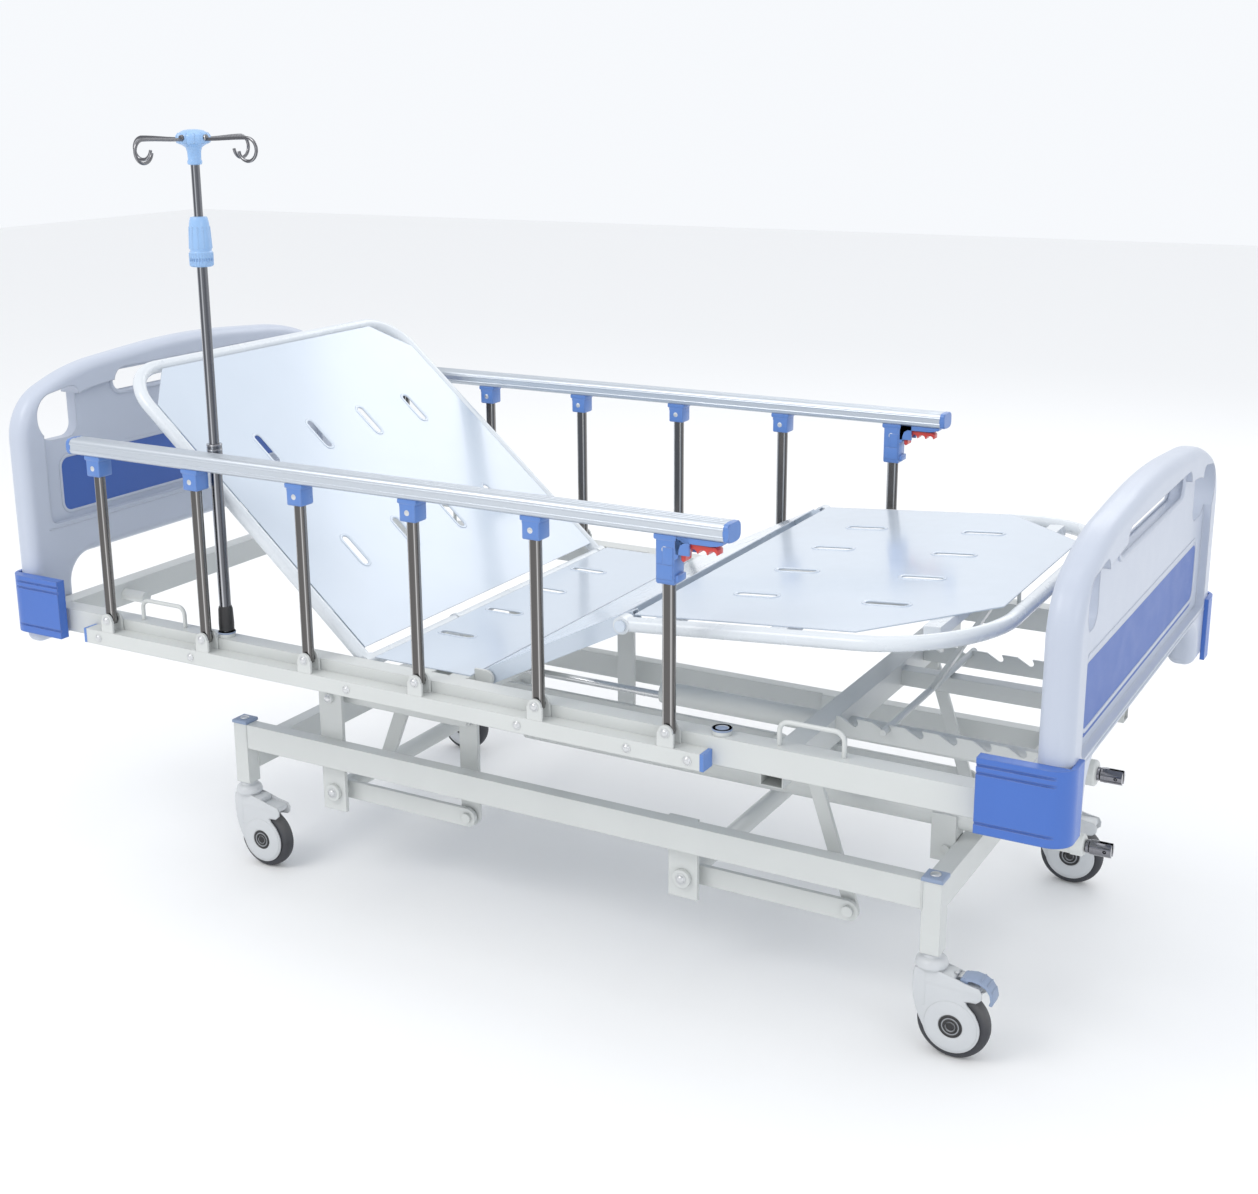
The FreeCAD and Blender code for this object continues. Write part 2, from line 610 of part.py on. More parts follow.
def pole_socket(x, y):
    """Plastic grommet over a pole hole in the rail top."""
    ring = cyl_z(x, y, 16, FRAME_TOP, FRAME_TOP + 10)
    return ring.cut(cyl_z(x, y, POLE_D / 2 + RUN, FRAME_TOP - 1, FRAME_TOP + 11))


def frame_brackets():
    """Everything bolted or welded on the frame tubes."""
    z0 = FRAME_TOP - FRAME_H
    x0 = HEADBOARD_X + BOARD_T / 2
    x1 = FOOTBOARD_X - BOARD_T / 2
    y = FRAME_HALF - FRAME_W / 2
    pieces = both(hanger()) + both(foot_ear()) + both(back_pin()) + both(thigh_ear())
    for x in (x0, x1 - 4):
        pieces += both(box(x, x + 4, RAIL_IN, FRAME_HALF + 4, z0, FRAME_TOP + 26))
    for x in (-810, 540):
        pieces += both(retainer(x, y))
    for x in (POLE_X, POLE_FOOT_X):
        pieces += both(pole_socket(x, y))
    block = box(x1 - 38, x1 - 8, BACK_CRANK_Y - 26, BACK_CRANK_Y + 26, BACK_CRANK_Z - 10, z0)
    pieces.append(block.cut(cyl_x(BACK_CRANK_Y, BACK_CRANK_Z, 20, x1 - 60, x1 + 10)))
    pieces.append(cyl_x(-290, 494, 12, x0 + 42, x0 + 102))
    return group(pieces)


def back_crank_tube():
    """Guard tube of the back screw with the bush at its foot end."""
    y = BACK_CRANK_Y
    tube = cyl_x(y, BACK_CRANK_Z, 20, 120, 902).cut(cyl_x(y, BACK_CRANK_Z, 17.5, 119, 903))
    bush = cyl_x(y, BACK_CRANK_Z, 17.5, 878, 902).cut(cyl_x(y, BACK_CRANK_Z, 7 + RUN, 877, 903))
    return group([tube, bush])


def rack(y0):
    """Toothed strip the prop's rod drops into."""
    x0 = MID_CROSS_X + 20
    x1 = FOOTBOARD_X - BOARD_T / 2 - 42
    strip = box(x0, x1, y0, y0 + 5, RACK_TOP - RACK_H, RACK_TOP)
    r = PROP_ROD_D / 2 + 0.4
    lean = atan2(PROP_X - ROD_X, PROP_Z - ROD_Z)
    lift = radians(THIGH_DEG)
    low = V(-sin(lean) * r, 0, -cos(lean) * r)
    high = V(cos(lift) * r, 0, sin(lift) * r)
    low_end = low + V(-cos(lean), 0, sin(lean)) * 34
    high_end = high + V(-sin(lift), 0, cos(lift)) * 20
    for i in range(NOTCH_COUNT):
        at = V(NOTCH_X + i * NOTCH_PITCH, y0 - 1, ROD_Z)
        corners = [at + p for p in (low, low_end, high_end, high)]
        notch = Part.Face(Part.makePolygon(corners + corners[:1])).extrude(V(0, 7, 0))
        strip = strip.cut(notch.fuse(cyl_y(at.x, ROD_Z, r, y0 - 1, y0 + 6)))
    return strip


def racks():
    """Both toothed strips."""
    return group(both(rack(RACK_Y)))


def seat_deck():
    """Fixed deck plate with its slots."""
    x0 = BACK_X + 20
    x1 = THIGH_CROSS_X + 19
    plate = box(x0, x1, -DECK_HALF - 15, DECK_HALF + 15, FRAME_TOP, FRAME_TOP + DECK_T)
    for y in (-245, -82, 82, 245):
        plate = plate.cut(slot_cutter(-268, y, FRAME_TOP - 1, FRAME_TOP + DECK_T + 1))
    return plate


# ---------------------------------------------------------------- boards
def closed_outline(points, radii, x):
    """Closed wire in a plane of constant x with rounded corners; points are (y, z)."""
    n = len(points)
    edges = []
    ends = []
    for i in range(n):
        before, corner, after = [V(x, *points[j % n]) for j in (i - 1, i, i + 1)]
        a = (before - corner).normalize()
        b = (after - corner).normalize()
        half = acos(max(-1, min(1, a.dot(b)))) / 2
        reach = radii[i] * cos(half) / sin(half)
        middle = corner + (a + b).normalize() * (radii[i] / sin(half) - radii[i])
        ends.append((corner + a * reach, middle, corner + b * reach))
    for i in range(n):
        start, middle, end = ends[i]
        edges.append(Part.Arc(start, middle, end).toShape())
        following = ends[(i + 1) % n][0]
        if end.distanceToPoint(following) > 1e-6:
            edges.append(Part.makeLine(end, following))
    return Part.Wire(edges)


def slab(points, radii, x0, x1):
    """Rounded outline pushed from x0 to x1."""
    return Part.Face(closed_outline(points, radii, x0)).extrude(V(x1 - x0, 0, 0))


def rectangle(y0, y1, z0, z1):
    """Corner points of a rectangle."""
    return [(y0, z0), (y1, z0), (y1, z1), (y0, z1)]


def board_outline(top, inset):
    """Outline of a board, or of the pocket inside its rim; bottom corners first."""
    half = BOARD_HALF - inset
    side = top - 79 - inset * 0.72
    knee = top - 21 - inset * 0.98
    peak = top + 5 - inset
    inner = BOARD_HALF - BOARD_SHOULDER - inset * 0.3
    arch = [(half, side), (inner, knee), (0, peak), (-inner, knee), (-half, side)]
    k = max(0.3, 1 - inset / 110)
    crown = min(BOARD_CROWN_R, 0.55 * inner * inner / (peak - knee))
    return arch, [110 * k, 480 * k, crown, 480 * k, 110 * k]


def board_body(x, top, mirrored):
    """Blow-moulded end board: fat rim, grips, pockets on both faces and two legs."""
    foot_z = top - 570 if mirrored else BOARD_BOTTOM
    under = top - 412 if mirrored else top - 364
    ledge = top - 334 if mirrored else top - 344
    arch, radii = board_outline(top, 0)
    h = BOARD_HALF
    leg = h - BOARD_LEG_W
    points = [(-h, foot_z), (-leg, foot_z), (-leg, under), (leg, under), (leg, foot_z), (h, foot_z)]
    body = slab(points + arch, [14, 14, 56, 56, 14, 14] + radii, x - BOARD_T / 2, x + BOARD_T / 2)
    rims = []
    for edge in body.Edges:
        bb = edge.BoundBox
        if bb.XLength < 0.01 and bb.ZMax > under + 60:
            rims.append(edge)
    body = body.makeFillet(20, rims)
    arch, radii = board_outline(top, BOARD_RIM)
    p = h - BOARD_RIM
    pocket = [(-p, ledge), (p, ledge)] + arch
    for x0, x1 in ((x - BOARD_T, x - BOARD_WEB / 2), (x + BOARD_WEB / 2, x + BOARD_T)):
        body = body.cut(slab(pocket, [18, 18] + radii, x0, x1))
    y0, y1 = h - GRIP_IN, h - GRIP_MARGIN
    grip = [(y0, top - 166), (y1, top - 166), (y1, top - 74), (y0, top - 58)]
    grip_r = [26, 50, 44, 20]
    body = body.cut(slab(grip, grip_r, x - BOARD_T, x + BOARD_T))
    grip = [(-y, z) for y, z in grip]
    body = body.cut(slab(grip, grip_r, x - BOARD_T, x + BOARD_T))
    oval = rectangle(OVAL_MARGIN - h, h - OVAL_MARGIN, top - 99, top - 44)
    body = body.cut(slab(oval, [27] * 4, x - BOARD_T, x + BOARD_T))
    skin = BOARD_WEB / 2
    for x0, x1 in ((x - skin - 1, x - skin + 3), (x + skin - 3, x + skin + 1)):
        body = body.cut(slab(panel_points(top), [22] * 4, x0, x1))
    return body


def panel_points(top):
    """Corners of the coloured panel of the board with this top."""
    low = top - (HEADBOARD_PANEL_DROP if top == HEADBOARD_TOP else FOOTBOARD_PANEL_DROP)
    return rectangle(-PANEL_HALF, PANEL_HALF, low, low + PANEL_H)


def headboard():
    """Board at the head end."""
    return board_body(HEADBOARD_X, HEADBOARD_TOP, True)


def footboard():
    """Board at the foot end."""
    return board_body(FOOTBOARD_X, FOOTBOARD_TOP, False)


def board_panels():
    """Coloured sheets let in the pockets of both boards, front and back."""
    pieces = []
    for x, top in ((HEADBOARD_X, HEADBOARD_TOP), (FOOTBOARD_X, FOOTBOARD_TOP)):
        for x0 in (x - BOARD_WEB / 2, x + BOARD_WEB / 2 - 3):
            pieces.append(slab(panel_points(top), [22] * 4, x0, x0 + 3))
    return group(pieces)


def bumper(x_face, inward):
    """Corner bumper wrapped round a board leg; inward is +1 at the head end."""
    z0, z1 = 462, 580
    y1 = FRAME_HALF + CHANNEL_DEPTH - 1
    x_out = x_face - inward * BUMPER_OUT
    x_in = x_face + inward * 130
    xa, xb = sorted((x_out, x_in))
    outer = box(xa, xb, BOARD_HALF - 45, y1, z0, z1)
    corner = [e for e in outer.Edges
              if e.BoundBox.ZLength > 50 and e.BoundBox.YMin > y1 - 1
              and abs(e.BoundBox.XMin - x_out) < 1]
    outer = outer.makeFillet(34, corner)
    inner_x = sorted((x_face, x_in + inward))
    core = box(inner_x[0], inner_x[1], BOARD_HALF - 50, BOARD_HALF, z0 - 1, z1 + 1)
    shell = outer.cut(core)
    fix = sorted((x_face + inward * (BOARD_T + 4), x_face + inward * 118))
    pad = box(fix[0], fix[1], FRAME_HALF, BOARD_HALF, z0 + 10, FRAME_TOP)
    shell = shell.fuse(pad)
    for z in (z0 + 14, z1 - 26, z1 - 14):
        groove = box(xa - 5, xb + 5, y1 - 2.5, y1 + 5, z, z + 4)
        shell = shell.cut(groove)
    return shell


def bumpers():
    """The four corner bumpers."""
    head = bumper(HEADBOARD_X - BOARD_T / 2, 1)
    foot = bumper(FOOTBOARD_X + BOARD_T / 2, -1)
    return group(both(head) + both(foot))


# ---------------------------------------------------------------- back section
def loop_tube(length, corner, x, z):
    """Bent tube: up one side, across the end and back; stored along +X from (x, z)."""
    end = x + length - LOOP_D / 2
    points = [(x, -LOOP_Y, z), (end, -LOOP_Y, z), (end, LOOP_Y, z), (x, LOOP_Y, z)]
    return wire_sweep(rounded_path(points, (corner, corner)), LOOP_D / 2)


def pivot_boss(x, z):
    """Bosses at both tube ends."""
    boss = cyl_y(x, z, 15, LOOP_Y - LOOP_D / 2, LOOP_Y + LOOP_D / 2)
    return both(boss)


def pivot_holes(shape, x, z):
    """Bore both bosses."""
    for side in (-1, 1):
        y0, y1 = sorted((side * (LOOP_Y - 30), side * (LOOP_Y + 30)))
        shape = shape.cut(cyl_y(x, z, PIN_D / 2 + RUN, y0, y1))
    return shape


def flip(shape, x):
    """Turn a piece stored along +X from x so that it runs along -X."""
    return shape.mirror(V(x, 0, 0), V(1, 0, 0))


def back_frame():
    """Loop tube of the back section with its cross bars and crank lever."""
    loop = loop_tube(BACK_LEN, 90, BACK_X, BACK_Z)
    parts = pivot_boss(BACK_X, BACK_Z)
    parts.append(cyl_y(BACK_X, BACK_Z, LOOP_D / 2, -LOOP_Y, LOOP_Y))
    for u in (130, 355, 600):
        parts.append(box(BACK_X + u - 14, BACK_X + u + 14, -LOOP_Y, LOOP_Y, BACK_Z - 7, BACK_Z + 8))
    shape = pivot_holes(loop.fuse(parts), BACK_X, BACK_Z)
    shape = turned(flip(shape, BACK_X), BACK_X, BACK_Z, BACK_DEG)
    y = BACK_CRANK_Y
    lever = pinned_lever((BACK_X, BACK_Z), (BACK_PIN_X, BACK_PIN_Z), y + 8, y + 16, y - 8)
    return shape.fuse(lever)


def deck_plate(outline, slots, z0):
    """Flat plate from (x, y) outline points with slots at the (x, y) places."""
    corners = [V(a, b, z0) for a, b in outline]
    plate = Part.Face(Part.makePolygon(corners + corners[:1])).extrude(V(0, 0, DECK_T))
    for u, y in slots:
        plate = plate.cut(slot_cutter(u, y, z0 - 1, z0 + DECK_T + 1))
    return plate


def slot_places(rows, ys):
    """Grid of slot centres."""
    return [(u, y) for u in rows for y in ys]


def back_deck():
    """Deck plate of the back section."""
    x0 = BACK_X + 26
    x1 = BACK_X + BACK_LEN - LOOP_D - 2
    h = DECK_HALF
    outline = [(x0, -h), (x1 - 80, -h), (x1, -h + 80), (x1, h - 80), (x1 - 80, h), (x0, h)]
    places = slot_places((BACK_X + 216, BACK_X + 490), (-245, -83, 83, 245))
    plate = deck_plate(outline, places, BACK_Z + 8)
    return turned(flip(plate, BACK_X), BACK_X, BACK_Z, BACK_DEG)


# ---------------------------------------------------------------- thigh and leg sections
def thigh_section():
    """Thigh section: two side tubes, cross bars and the deck plate."""
    x, z = THIGH_X, THIGH_Z
    tubes = []
    y0 = THIGH_HALF - 20
    for side in (-1, 1):
        a, b = sorted((side * y0, side * THIGH_HALF))
        tube = rect_tube_x(x - 12, x + THIGH_LEN + 12, a, b, z - 14, z + 14)
        tubes.append(tube.cut(cyl_y(x, z, 5 + RUN, a - 1, b + 1)))
        a, b = sorted((side * (y0 - 4), side * (LOOP_Y + LOOP_D / 2 + 5)))
        tubes.append(cyl_y(x + THIGH_LEN, z, PIN_D / 2, a, b))
        a, b = sorted((side * (LOOP_Y + LOOP_D / 2 + GAP), side * (LOOP_Y + LOOP_D / 2 + 5)))
        tubes.append(cyl_y(x + THIGH_LEN, z, 10, a, b))
    for u in (60, 255):
        tubes.append(rect_tube_y(x + u - 12, x + u + 12, -y0, y0, z - 2, z + 14))
    frame = tubes[0].fuse(tubes[1:])
    h = THIGH_HALF
    outline = [(x + 8, -h), (x + THIGH_LEN - 8, -h), (x + THIGH_LEN - 8, h), (x + 8, h)]
    plate = deck_plate(outline, [], z + 14)
    return turned(group([frame, plate]), x, z, -THIGH_DEG)


def leg_frame():
    """Loop tube of the leg section with cross bars and the prop's bracket."""
    x, z = KNEE_X, KNEE_Z
    loop = loop_tube(LEG_LEN, 190, x, z)
    parts = pivot_boss(x, z)
    for u in (70, 275):
        parts.append(box(x + u - 14, x + u + 14, -LOOP_Y, LOOP_Y, z - 6, z + LOOP_D / 2))
    u = x + PROP_U
    parts.append(box(u - 14, u + 14, -350, 350, z - 6, z + LOOP_D / 2))
    for a in (-26, 40):
        ear = box(u - 12, u + 12, a, a + 6, z - 22, z)
        parts.append(ear.fuse(cyl_y(u, z - 22, 12, a, a + 6)))
    parts.append(cyl_y(u, z - 22, 5, -26, 46))
    shape = pivot_holes(loop.fuse(parts), x, z)
    return turned(shape, x, z, -LEG_DEG)


def leg_deck():
    """Deck plate of the leg section with cut foot corners."""
    x = KNEE_X
    h = DECK_HALF
    x1 = x + LEG_LEN - LOOP_D - 8
    outline = [(x + 14, -h), (x + 400, -h), (x1, -h + 190), (x1, h - 190), (x + 400, h), (x + 14, h)]
    places = slot_places((x + 161, x + 390), (-250, -83, 83, 250))
    plate = deck_plate(outline, places, KNEE_Z + LOOP_D / 2)
    return turned(plate, x, KNEE_Z, -LEG_DEG)


def leg_bail():
    """Prop: hub, flat strut and the cross rod that drops into the racks."""
    length = sqrt((PROP_X - ROD_X) ** 2 + (PROP_Z - ROD_Z) ** 2)
    lean = degrees(atan2(PROP_X - ROD_X, PROP_Z - ROD_Z))
    hub = cyl_y(PROP_X, PROP_Z, 9, -19.5, 39.5)
    strut = box(PROP_X - 4, PROP_X + 4, -8, 28, PROP_Z - length, PROP_Z)
    rod = cyl_y(PROP_X, PROP_Z - length, PROP_ROD_D / 2, -RACK_Y - 25, RACK_Y + 25)
    shape = hub.fuse([strut, rod]).cut(cyl_y(PROP_X, PROP_Z, 5 + RUN, -30, 50))
    return turned(shape, PROP_X, PROP_Z, lean)


# ---------------------------------------------------------------- side rails
def post_x(i):
    """Where post i stands; 1 is nearest the foot end."""
    return POST_FOOT_X - (i - 1) * POST_PITCH


def rail_channel():
    """Channel bolted to the frame rail, with a forked bracket for each post. Far side."""
    z0 = CHANNEL_TOP - CHANNEL_H
    y0 = FRAME_HALF
    y1 = FRAME_HALF + CHANNEL_DEPTH
    pieces = [rect_tube_x(CHANNEL_X0, CHANNEL_X1, y0, y1, z0, CHANNEL_TOP)]
    for i in range(1, POST_COUNT + 1):
        x = post_x(i)
        parts = []
        for a in (POST_Y - 14.5, POST_Y + 10):
            parts.append(box(x - 15, x + 15, a, a + 4.5, CHANNEL_TOP, POST_PIN_Z))
            parts.append(cyl_y(x, POST_PIN_Z, 13, a, a + 4.5))
        pin = cyl_y(x, POST_PIN_Z, 5, POST_Y - 14.5, POST_Y + 14.5)
        pieces.append(pin.fuse(parts))
    return group(pieces)


def rail_channels():
    """Both channels."""
    return group(both(rail_channel()))


def channel_caps():
    """End caps of the channels."""
    z0 = CHANNEL_TOP - CHANNEL_H
    pieces = []
    for x in (CHANNEL_X0 - 7, CHANNEL_X1):
        pieces += both(box(x, x + 7, FRAME_HALF, FRAME_HALF + CHANNEL_DEPTH, z0, CHANNEL_TOP))
    return group(pieces)


def post(i):
    """Side rail post, far side: oval bar with a bored round end at each pin."""
    x = post_x(i)
    y0 = POST_Y - POST_T / 2
    r = 5 + RUN
    flat = strap((x, POST_PIN_Z), (x, POST_TOP_Z), POST_W, y0, y0 + POST_T)
    half = POST_W / 2
    bar = box(x - half, x + half, y0, y0 + POST_T, POST_PIN_Z - half, POST_TOP_Z + half)
    bar = bar.makeFillet(7, [e for e in bar.Edges if e.BoundBox.ZLength > 100])
    shape = bar.common(flat)
    for z in (POST_PIN_Z, POST_TOP_Z):
        shape = shape.cut(cyl_y(x, z, r, y0 - 1, y0 + POST_T + 1))
    return shape


def top_rail():
    """Hand rail, far side: hollow rounded bar."""
    y0 = POST_Y - TOP_RAIL_W / 2
    y1 = POST_Y + TOP_RAIL_W / 2
    z1 = TOP_RAIL_Z + TOP_RAIL_H
    bar = box(TOP_RAIL_X0, TOP_RAIL_X1, y0, y1, TOP_RAIL_Z, z1)
    long_edges = [e for e in bar.Edges if e.BoundBox.XLength > 100]
    bar = bar.makeFillet(8, long_edges)
    hole = box(TOP_RAIL_X0 - 1, TOP_RAIL_X1 + 1, y0 + 3, y1 - 3, TOP_RAIL_Z + 3, z1 - 3)
    hole = hole.makeFillet(5, [e for e in hole.Edges if e.BoundBox.XLength > 100])
    return bar.cut(hole)


def rail_fittings():
    """Fork joints over the posts, end caps and the latch housing, far side."""
    pieces = []
    for i in range(1, POST_COUNT + 1):
        x = post_x(i)
        low = POST_TOP_Z - (56 if i == 1 else 16)
        fork = box(x - 16, x + 16, POST_Y - 15, POST_Y + 15, POST_TOP_Z + 14, TOP_RAIL_Z)
        parts = [box(x + 12.5, x + 16, POST_Y - 15, POST_Y + 15, low, TOP_RAIL_Z)]
        for a in (POST_Y - 15, POST_Y + 10):
            parts.append(box(x - 14, x + 16, a, a + 5, low, TOP_RAIL_Z))
        parts.append(cyl_y(x, POST_TOP_Z, 5, POST_Y - 15, POST_Y + 15))
        pieces.append(fork.fuse(parts))
    z1 = TOP_RAIL_Z + TOP_RAIL_H
    for x in (TOP_RAIL_X0 - 8, TOP_RAIL_X1):
        cap = box(x, x + 8, POST_Y - TOP_RAIL_W / 2, POST_Y + TOP_RAIL_W / 2, TOP_RAIL_Z, z1)
        pieces.append(cap.makeFillet(7, [e for e in cap.Edges if e.BoundBox.XLength > 5]))
    x = post_x(1) + 18
    for a in (POST_Y - 16, POST_Y + 11):
        pieces.append(box(x, x + 24, a, a + 5, TOP_RAIL_Z - 29, TOP_RAIL_Z))
    pin = cyl_y(x + 12, TOP_RAIL_Z - 15, 3, POST_Y - 11, POST_Y + 11)
    pieces.append(pin)
    return group(pieces)


def trigger():
    """Release lever under the hand rail, far side, with finger scallops."""
    x = post_x(1) + 30
    z = TOP_RAIL_Z - 15
    hub = cyl_y(x, z, 7, POST_Y - 10.5, POST_Y + 10.5)
    bar = box(x, x + 66, POST_Y - 10.5, POST_Y + 10.5, z - 10, z + 4)
    for k in range(3):
        bar = bar.cut(cyl_y(x + 20 + k * 18, z - 16, 10, POST_Y - 12, POST_Y + 12))
    return hub.fuse(bar).cut(cyl_y(x, z, 3 + RUN, POST_Y - 20, POST_Y + 20))


# ---------------------------------------------------------------- drip pole
def pole_y():
    """The drip pole stands in the near frame rail."""
    return -(FRAME_HALF - FRAME_W / 2)


def iv_pole():
    """Lower pole tube with its collar."""
    x, y = POLE_X, pole_y()
    z0 = FRAME_TOP - FRAME_H + TUBE_WALL
    parts = [cyl_z(x, y, POLE_MID_D / 2, POLE_JOIN_Z, POLE_CLAMP_Z + 30),
             cyl_z(x, y, 14, POLE_JOIN_Z, POLE_JOIN_Z + 20)]
    shape = cyl_z(x, y, POLE_D / 2, z0, POLE_JOIN_Z).fuse(parts)
    return shape.cut(cyl_z(x, y, POLE_TOP_D / 2 + RUN, POLE_JOIN_Z + 22, POLE_CLAMP_Z + 31))


def iv_clamp():
    """Clamp nut round the joint of the pole tubes."""
    x, y = POLE_X, pole_y()
    z = POLE_CLAMP_Z
    nut = Part.makeCone(21, 15, 60, V(x, y, z + 28), V(0, 0, 1))
    nut = nut.fuse(cyl_z(x, y, 20, z, z + 28))
    nut = nut.cut(cyl_z(x, y, POLE_MID_D / 2 + RUN, z - 1, z + 30.2))
    return nut.cut(cyl_z(x, y, POLE_TOP_D / 2 + RUN, z + 30, z + 90))


def hook(x, y, angle):
    """One wire hook turned about the pole."""
    z = POLE_HUB_Z
    end = HOOK_REACH - HOOK_LOOP - HOOK_WIRE / 2
    arm = Part.makeLine(V(x, y, z), V(x + end, y, z))
    loop = Part.Arc(V(x + end, y, z), V(x + end + HOOK_LOOP, y, z - HOOK_LOOP),
                    V(x + end - HOOK_LOOP * 0.5, y, z - HOOK_LOOP * 1.866)).toShape()
    wire = wire_sweep([arm, loop], HOOK_WIRE / 2)
    wire.rotate(V(x, y, 0), V(0, 0, 1), angle)
    return wire


def iv_hook_head():
    """Sliding upper tube with the hub and its four hooks."""
    x, y = POLE_X, pole_y()
    z = POLE_HUB_Z
    parts = [Part.makeCone(11, 15, 34, V(x, y, z - 46), V(0, 0, 1)),
             cyl_z(x, y, 29, z - 12, z + 6),
             Part.makeCone(29, 18, 8, V(x, y, z + 6), V(0, 0, 1))]
    parts += [hook(x, y, 90 * k) for k in range(4)]
    return cyl_z(x, y, POLE_TOP_D / 2, POLE_CLAMP_Z - 80, z - 10).fuse(parts)


# ---------------------------------------------------------------- all pieces
CASTERS = {
    "near_head": (-LEG_X, -1, False),
    "near_foot": (LEG_X, -1, True),
    "far_head": (-LEG_X, 1, True),
    "far_foot": (LEG_X, 1, False),
}


def all_pieces():
    """Every node with its shape in the bed's own frame."""
    nodes = {
        "base_frame": base_frame(),
        "base_fittings": base_fittings(),
        "lift_crank_tube": lift_crank_tube(),
        "lift_crank_screw": crank_screw(LIFT_CRANK_Y, LIFT_CRANK_Z, 130, 946),
        "lift_arms_head": lift_arms_head(),
        "lift_arms_foot": lift_arms_foot(),
        "foot_links": foot_links(),
        "tie_bars": tie_bars(),
        "lift_tie_rod": lift_tie_rod(),
        "lift_push_rod": push_rod(LEVER_X, LEVER_Z, LIFT_CRANK_Y, 100, 7.5),
        "frame_tubes": frame_tubes(),
        "frame_brackets": frame_brackets(),
        "back_crank_tube": back_crank_tube(),
        "back_crank_screw": crank_screw(BACK_CRANK_Y, BACK_CRANK_Z, 480, 946),
        "racks": racks(),
        "seat_deck": seat_deck(),
        "headboard": headboard(),
        "footboard": footboard(),
        "board_panels": board_panels(),
        "bumpers": bumpers(),
        "back_frame": back_frame(),
        "back_deck": back_deck(),
        "back_push_rod": push_rod(BACK_PIN_X, BACK_PIN_Z, BACK_CRANK_Y, 400, 7),
        "thigh_section": thigh_section(),
        "leg_frame": leg_frame(),
        "leg_deck": leg_deck(),
        "leg_bail": leg_bail(),
        "rail_channels": rail_channels(),
        "channel_caps": channel_caps(),
        "iv_pole": iv_pole(),
        "iv_clamp": iv_clamp(),
        "iv_hook_head": iv_hook_head(),
    }
    mid = BASE_HALF - LEG_W / 2
    for name, (x, side, pedal) in CASTERS.items():
        nodes["caster_housing_" + name] = caster_housing(x, side * mid, pedal)
        nodes["caster_wheel_" + name] = caster_wheel(x, side * mid)
        if pedal:
            nodes["brake_pedal_" + name] = brake_pedal(x, side * mid)
    for side, place in (("far", lambda s: s), ("near", mirror_y)):
        for i in range(1, POST_COUNT + 1):
            nodes["post_%s_%d" % (side, i)] = place(post(i))
        nodes["top_rail_" + side] = place(top_rail())
        nodes["rail_fittings_" + side] = place(rail_fittings())
        nodes["trigger_" + side] = place(trigger())
    return nodes


def main():
    """Write one STEP per node, with the origin under the middle of the bed."""
    os.makedirs("parts", exist_ok=True)
    for name, shape in all_pieces().items():
        piece = shape.copy()
        piece.translate(-ORIGIN)
        piece.exportStep("parts/%s.step" % name)


if __name__ == "__main__":
    main()
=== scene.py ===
import bpy, json, math
from mathutils import Matrix, Vector


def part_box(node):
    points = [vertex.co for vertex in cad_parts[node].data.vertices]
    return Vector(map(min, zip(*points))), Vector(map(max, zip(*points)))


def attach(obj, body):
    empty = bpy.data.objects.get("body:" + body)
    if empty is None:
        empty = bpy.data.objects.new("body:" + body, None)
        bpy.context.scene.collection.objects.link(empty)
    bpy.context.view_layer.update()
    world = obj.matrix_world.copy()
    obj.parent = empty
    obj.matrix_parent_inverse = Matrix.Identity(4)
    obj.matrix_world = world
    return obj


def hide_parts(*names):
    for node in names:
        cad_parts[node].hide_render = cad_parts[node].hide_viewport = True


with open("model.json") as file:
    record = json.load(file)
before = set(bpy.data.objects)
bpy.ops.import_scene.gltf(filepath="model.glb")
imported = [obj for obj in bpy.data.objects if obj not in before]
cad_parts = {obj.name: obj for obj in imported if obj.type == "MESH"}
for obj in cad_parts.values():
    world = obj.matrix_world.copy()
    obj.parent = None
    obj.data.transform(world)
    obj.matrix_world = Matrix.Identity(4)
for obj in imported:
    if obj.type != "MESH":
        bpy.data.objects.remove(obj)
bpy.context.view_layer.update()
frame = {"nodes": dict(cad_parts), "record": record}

NODES = frame["nodes"]


def mid(node):
    """Middle of a CAD node's box."""
    lo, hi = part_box(node)
    return [(a + b) / 2 for a, b in zip(lo, hi)]


OX, OY, _ = mid("base_frame")


def place(x, y, z):
    """Design millimetres (x from the base's middle, y from the centre plane) to row metres."""
    return Vector((OX + x / 1000, OY + y / 1000, z / 1000))


# ---------------------------- materials
def link(tree, a, b):
    tree.links.new(a, b)


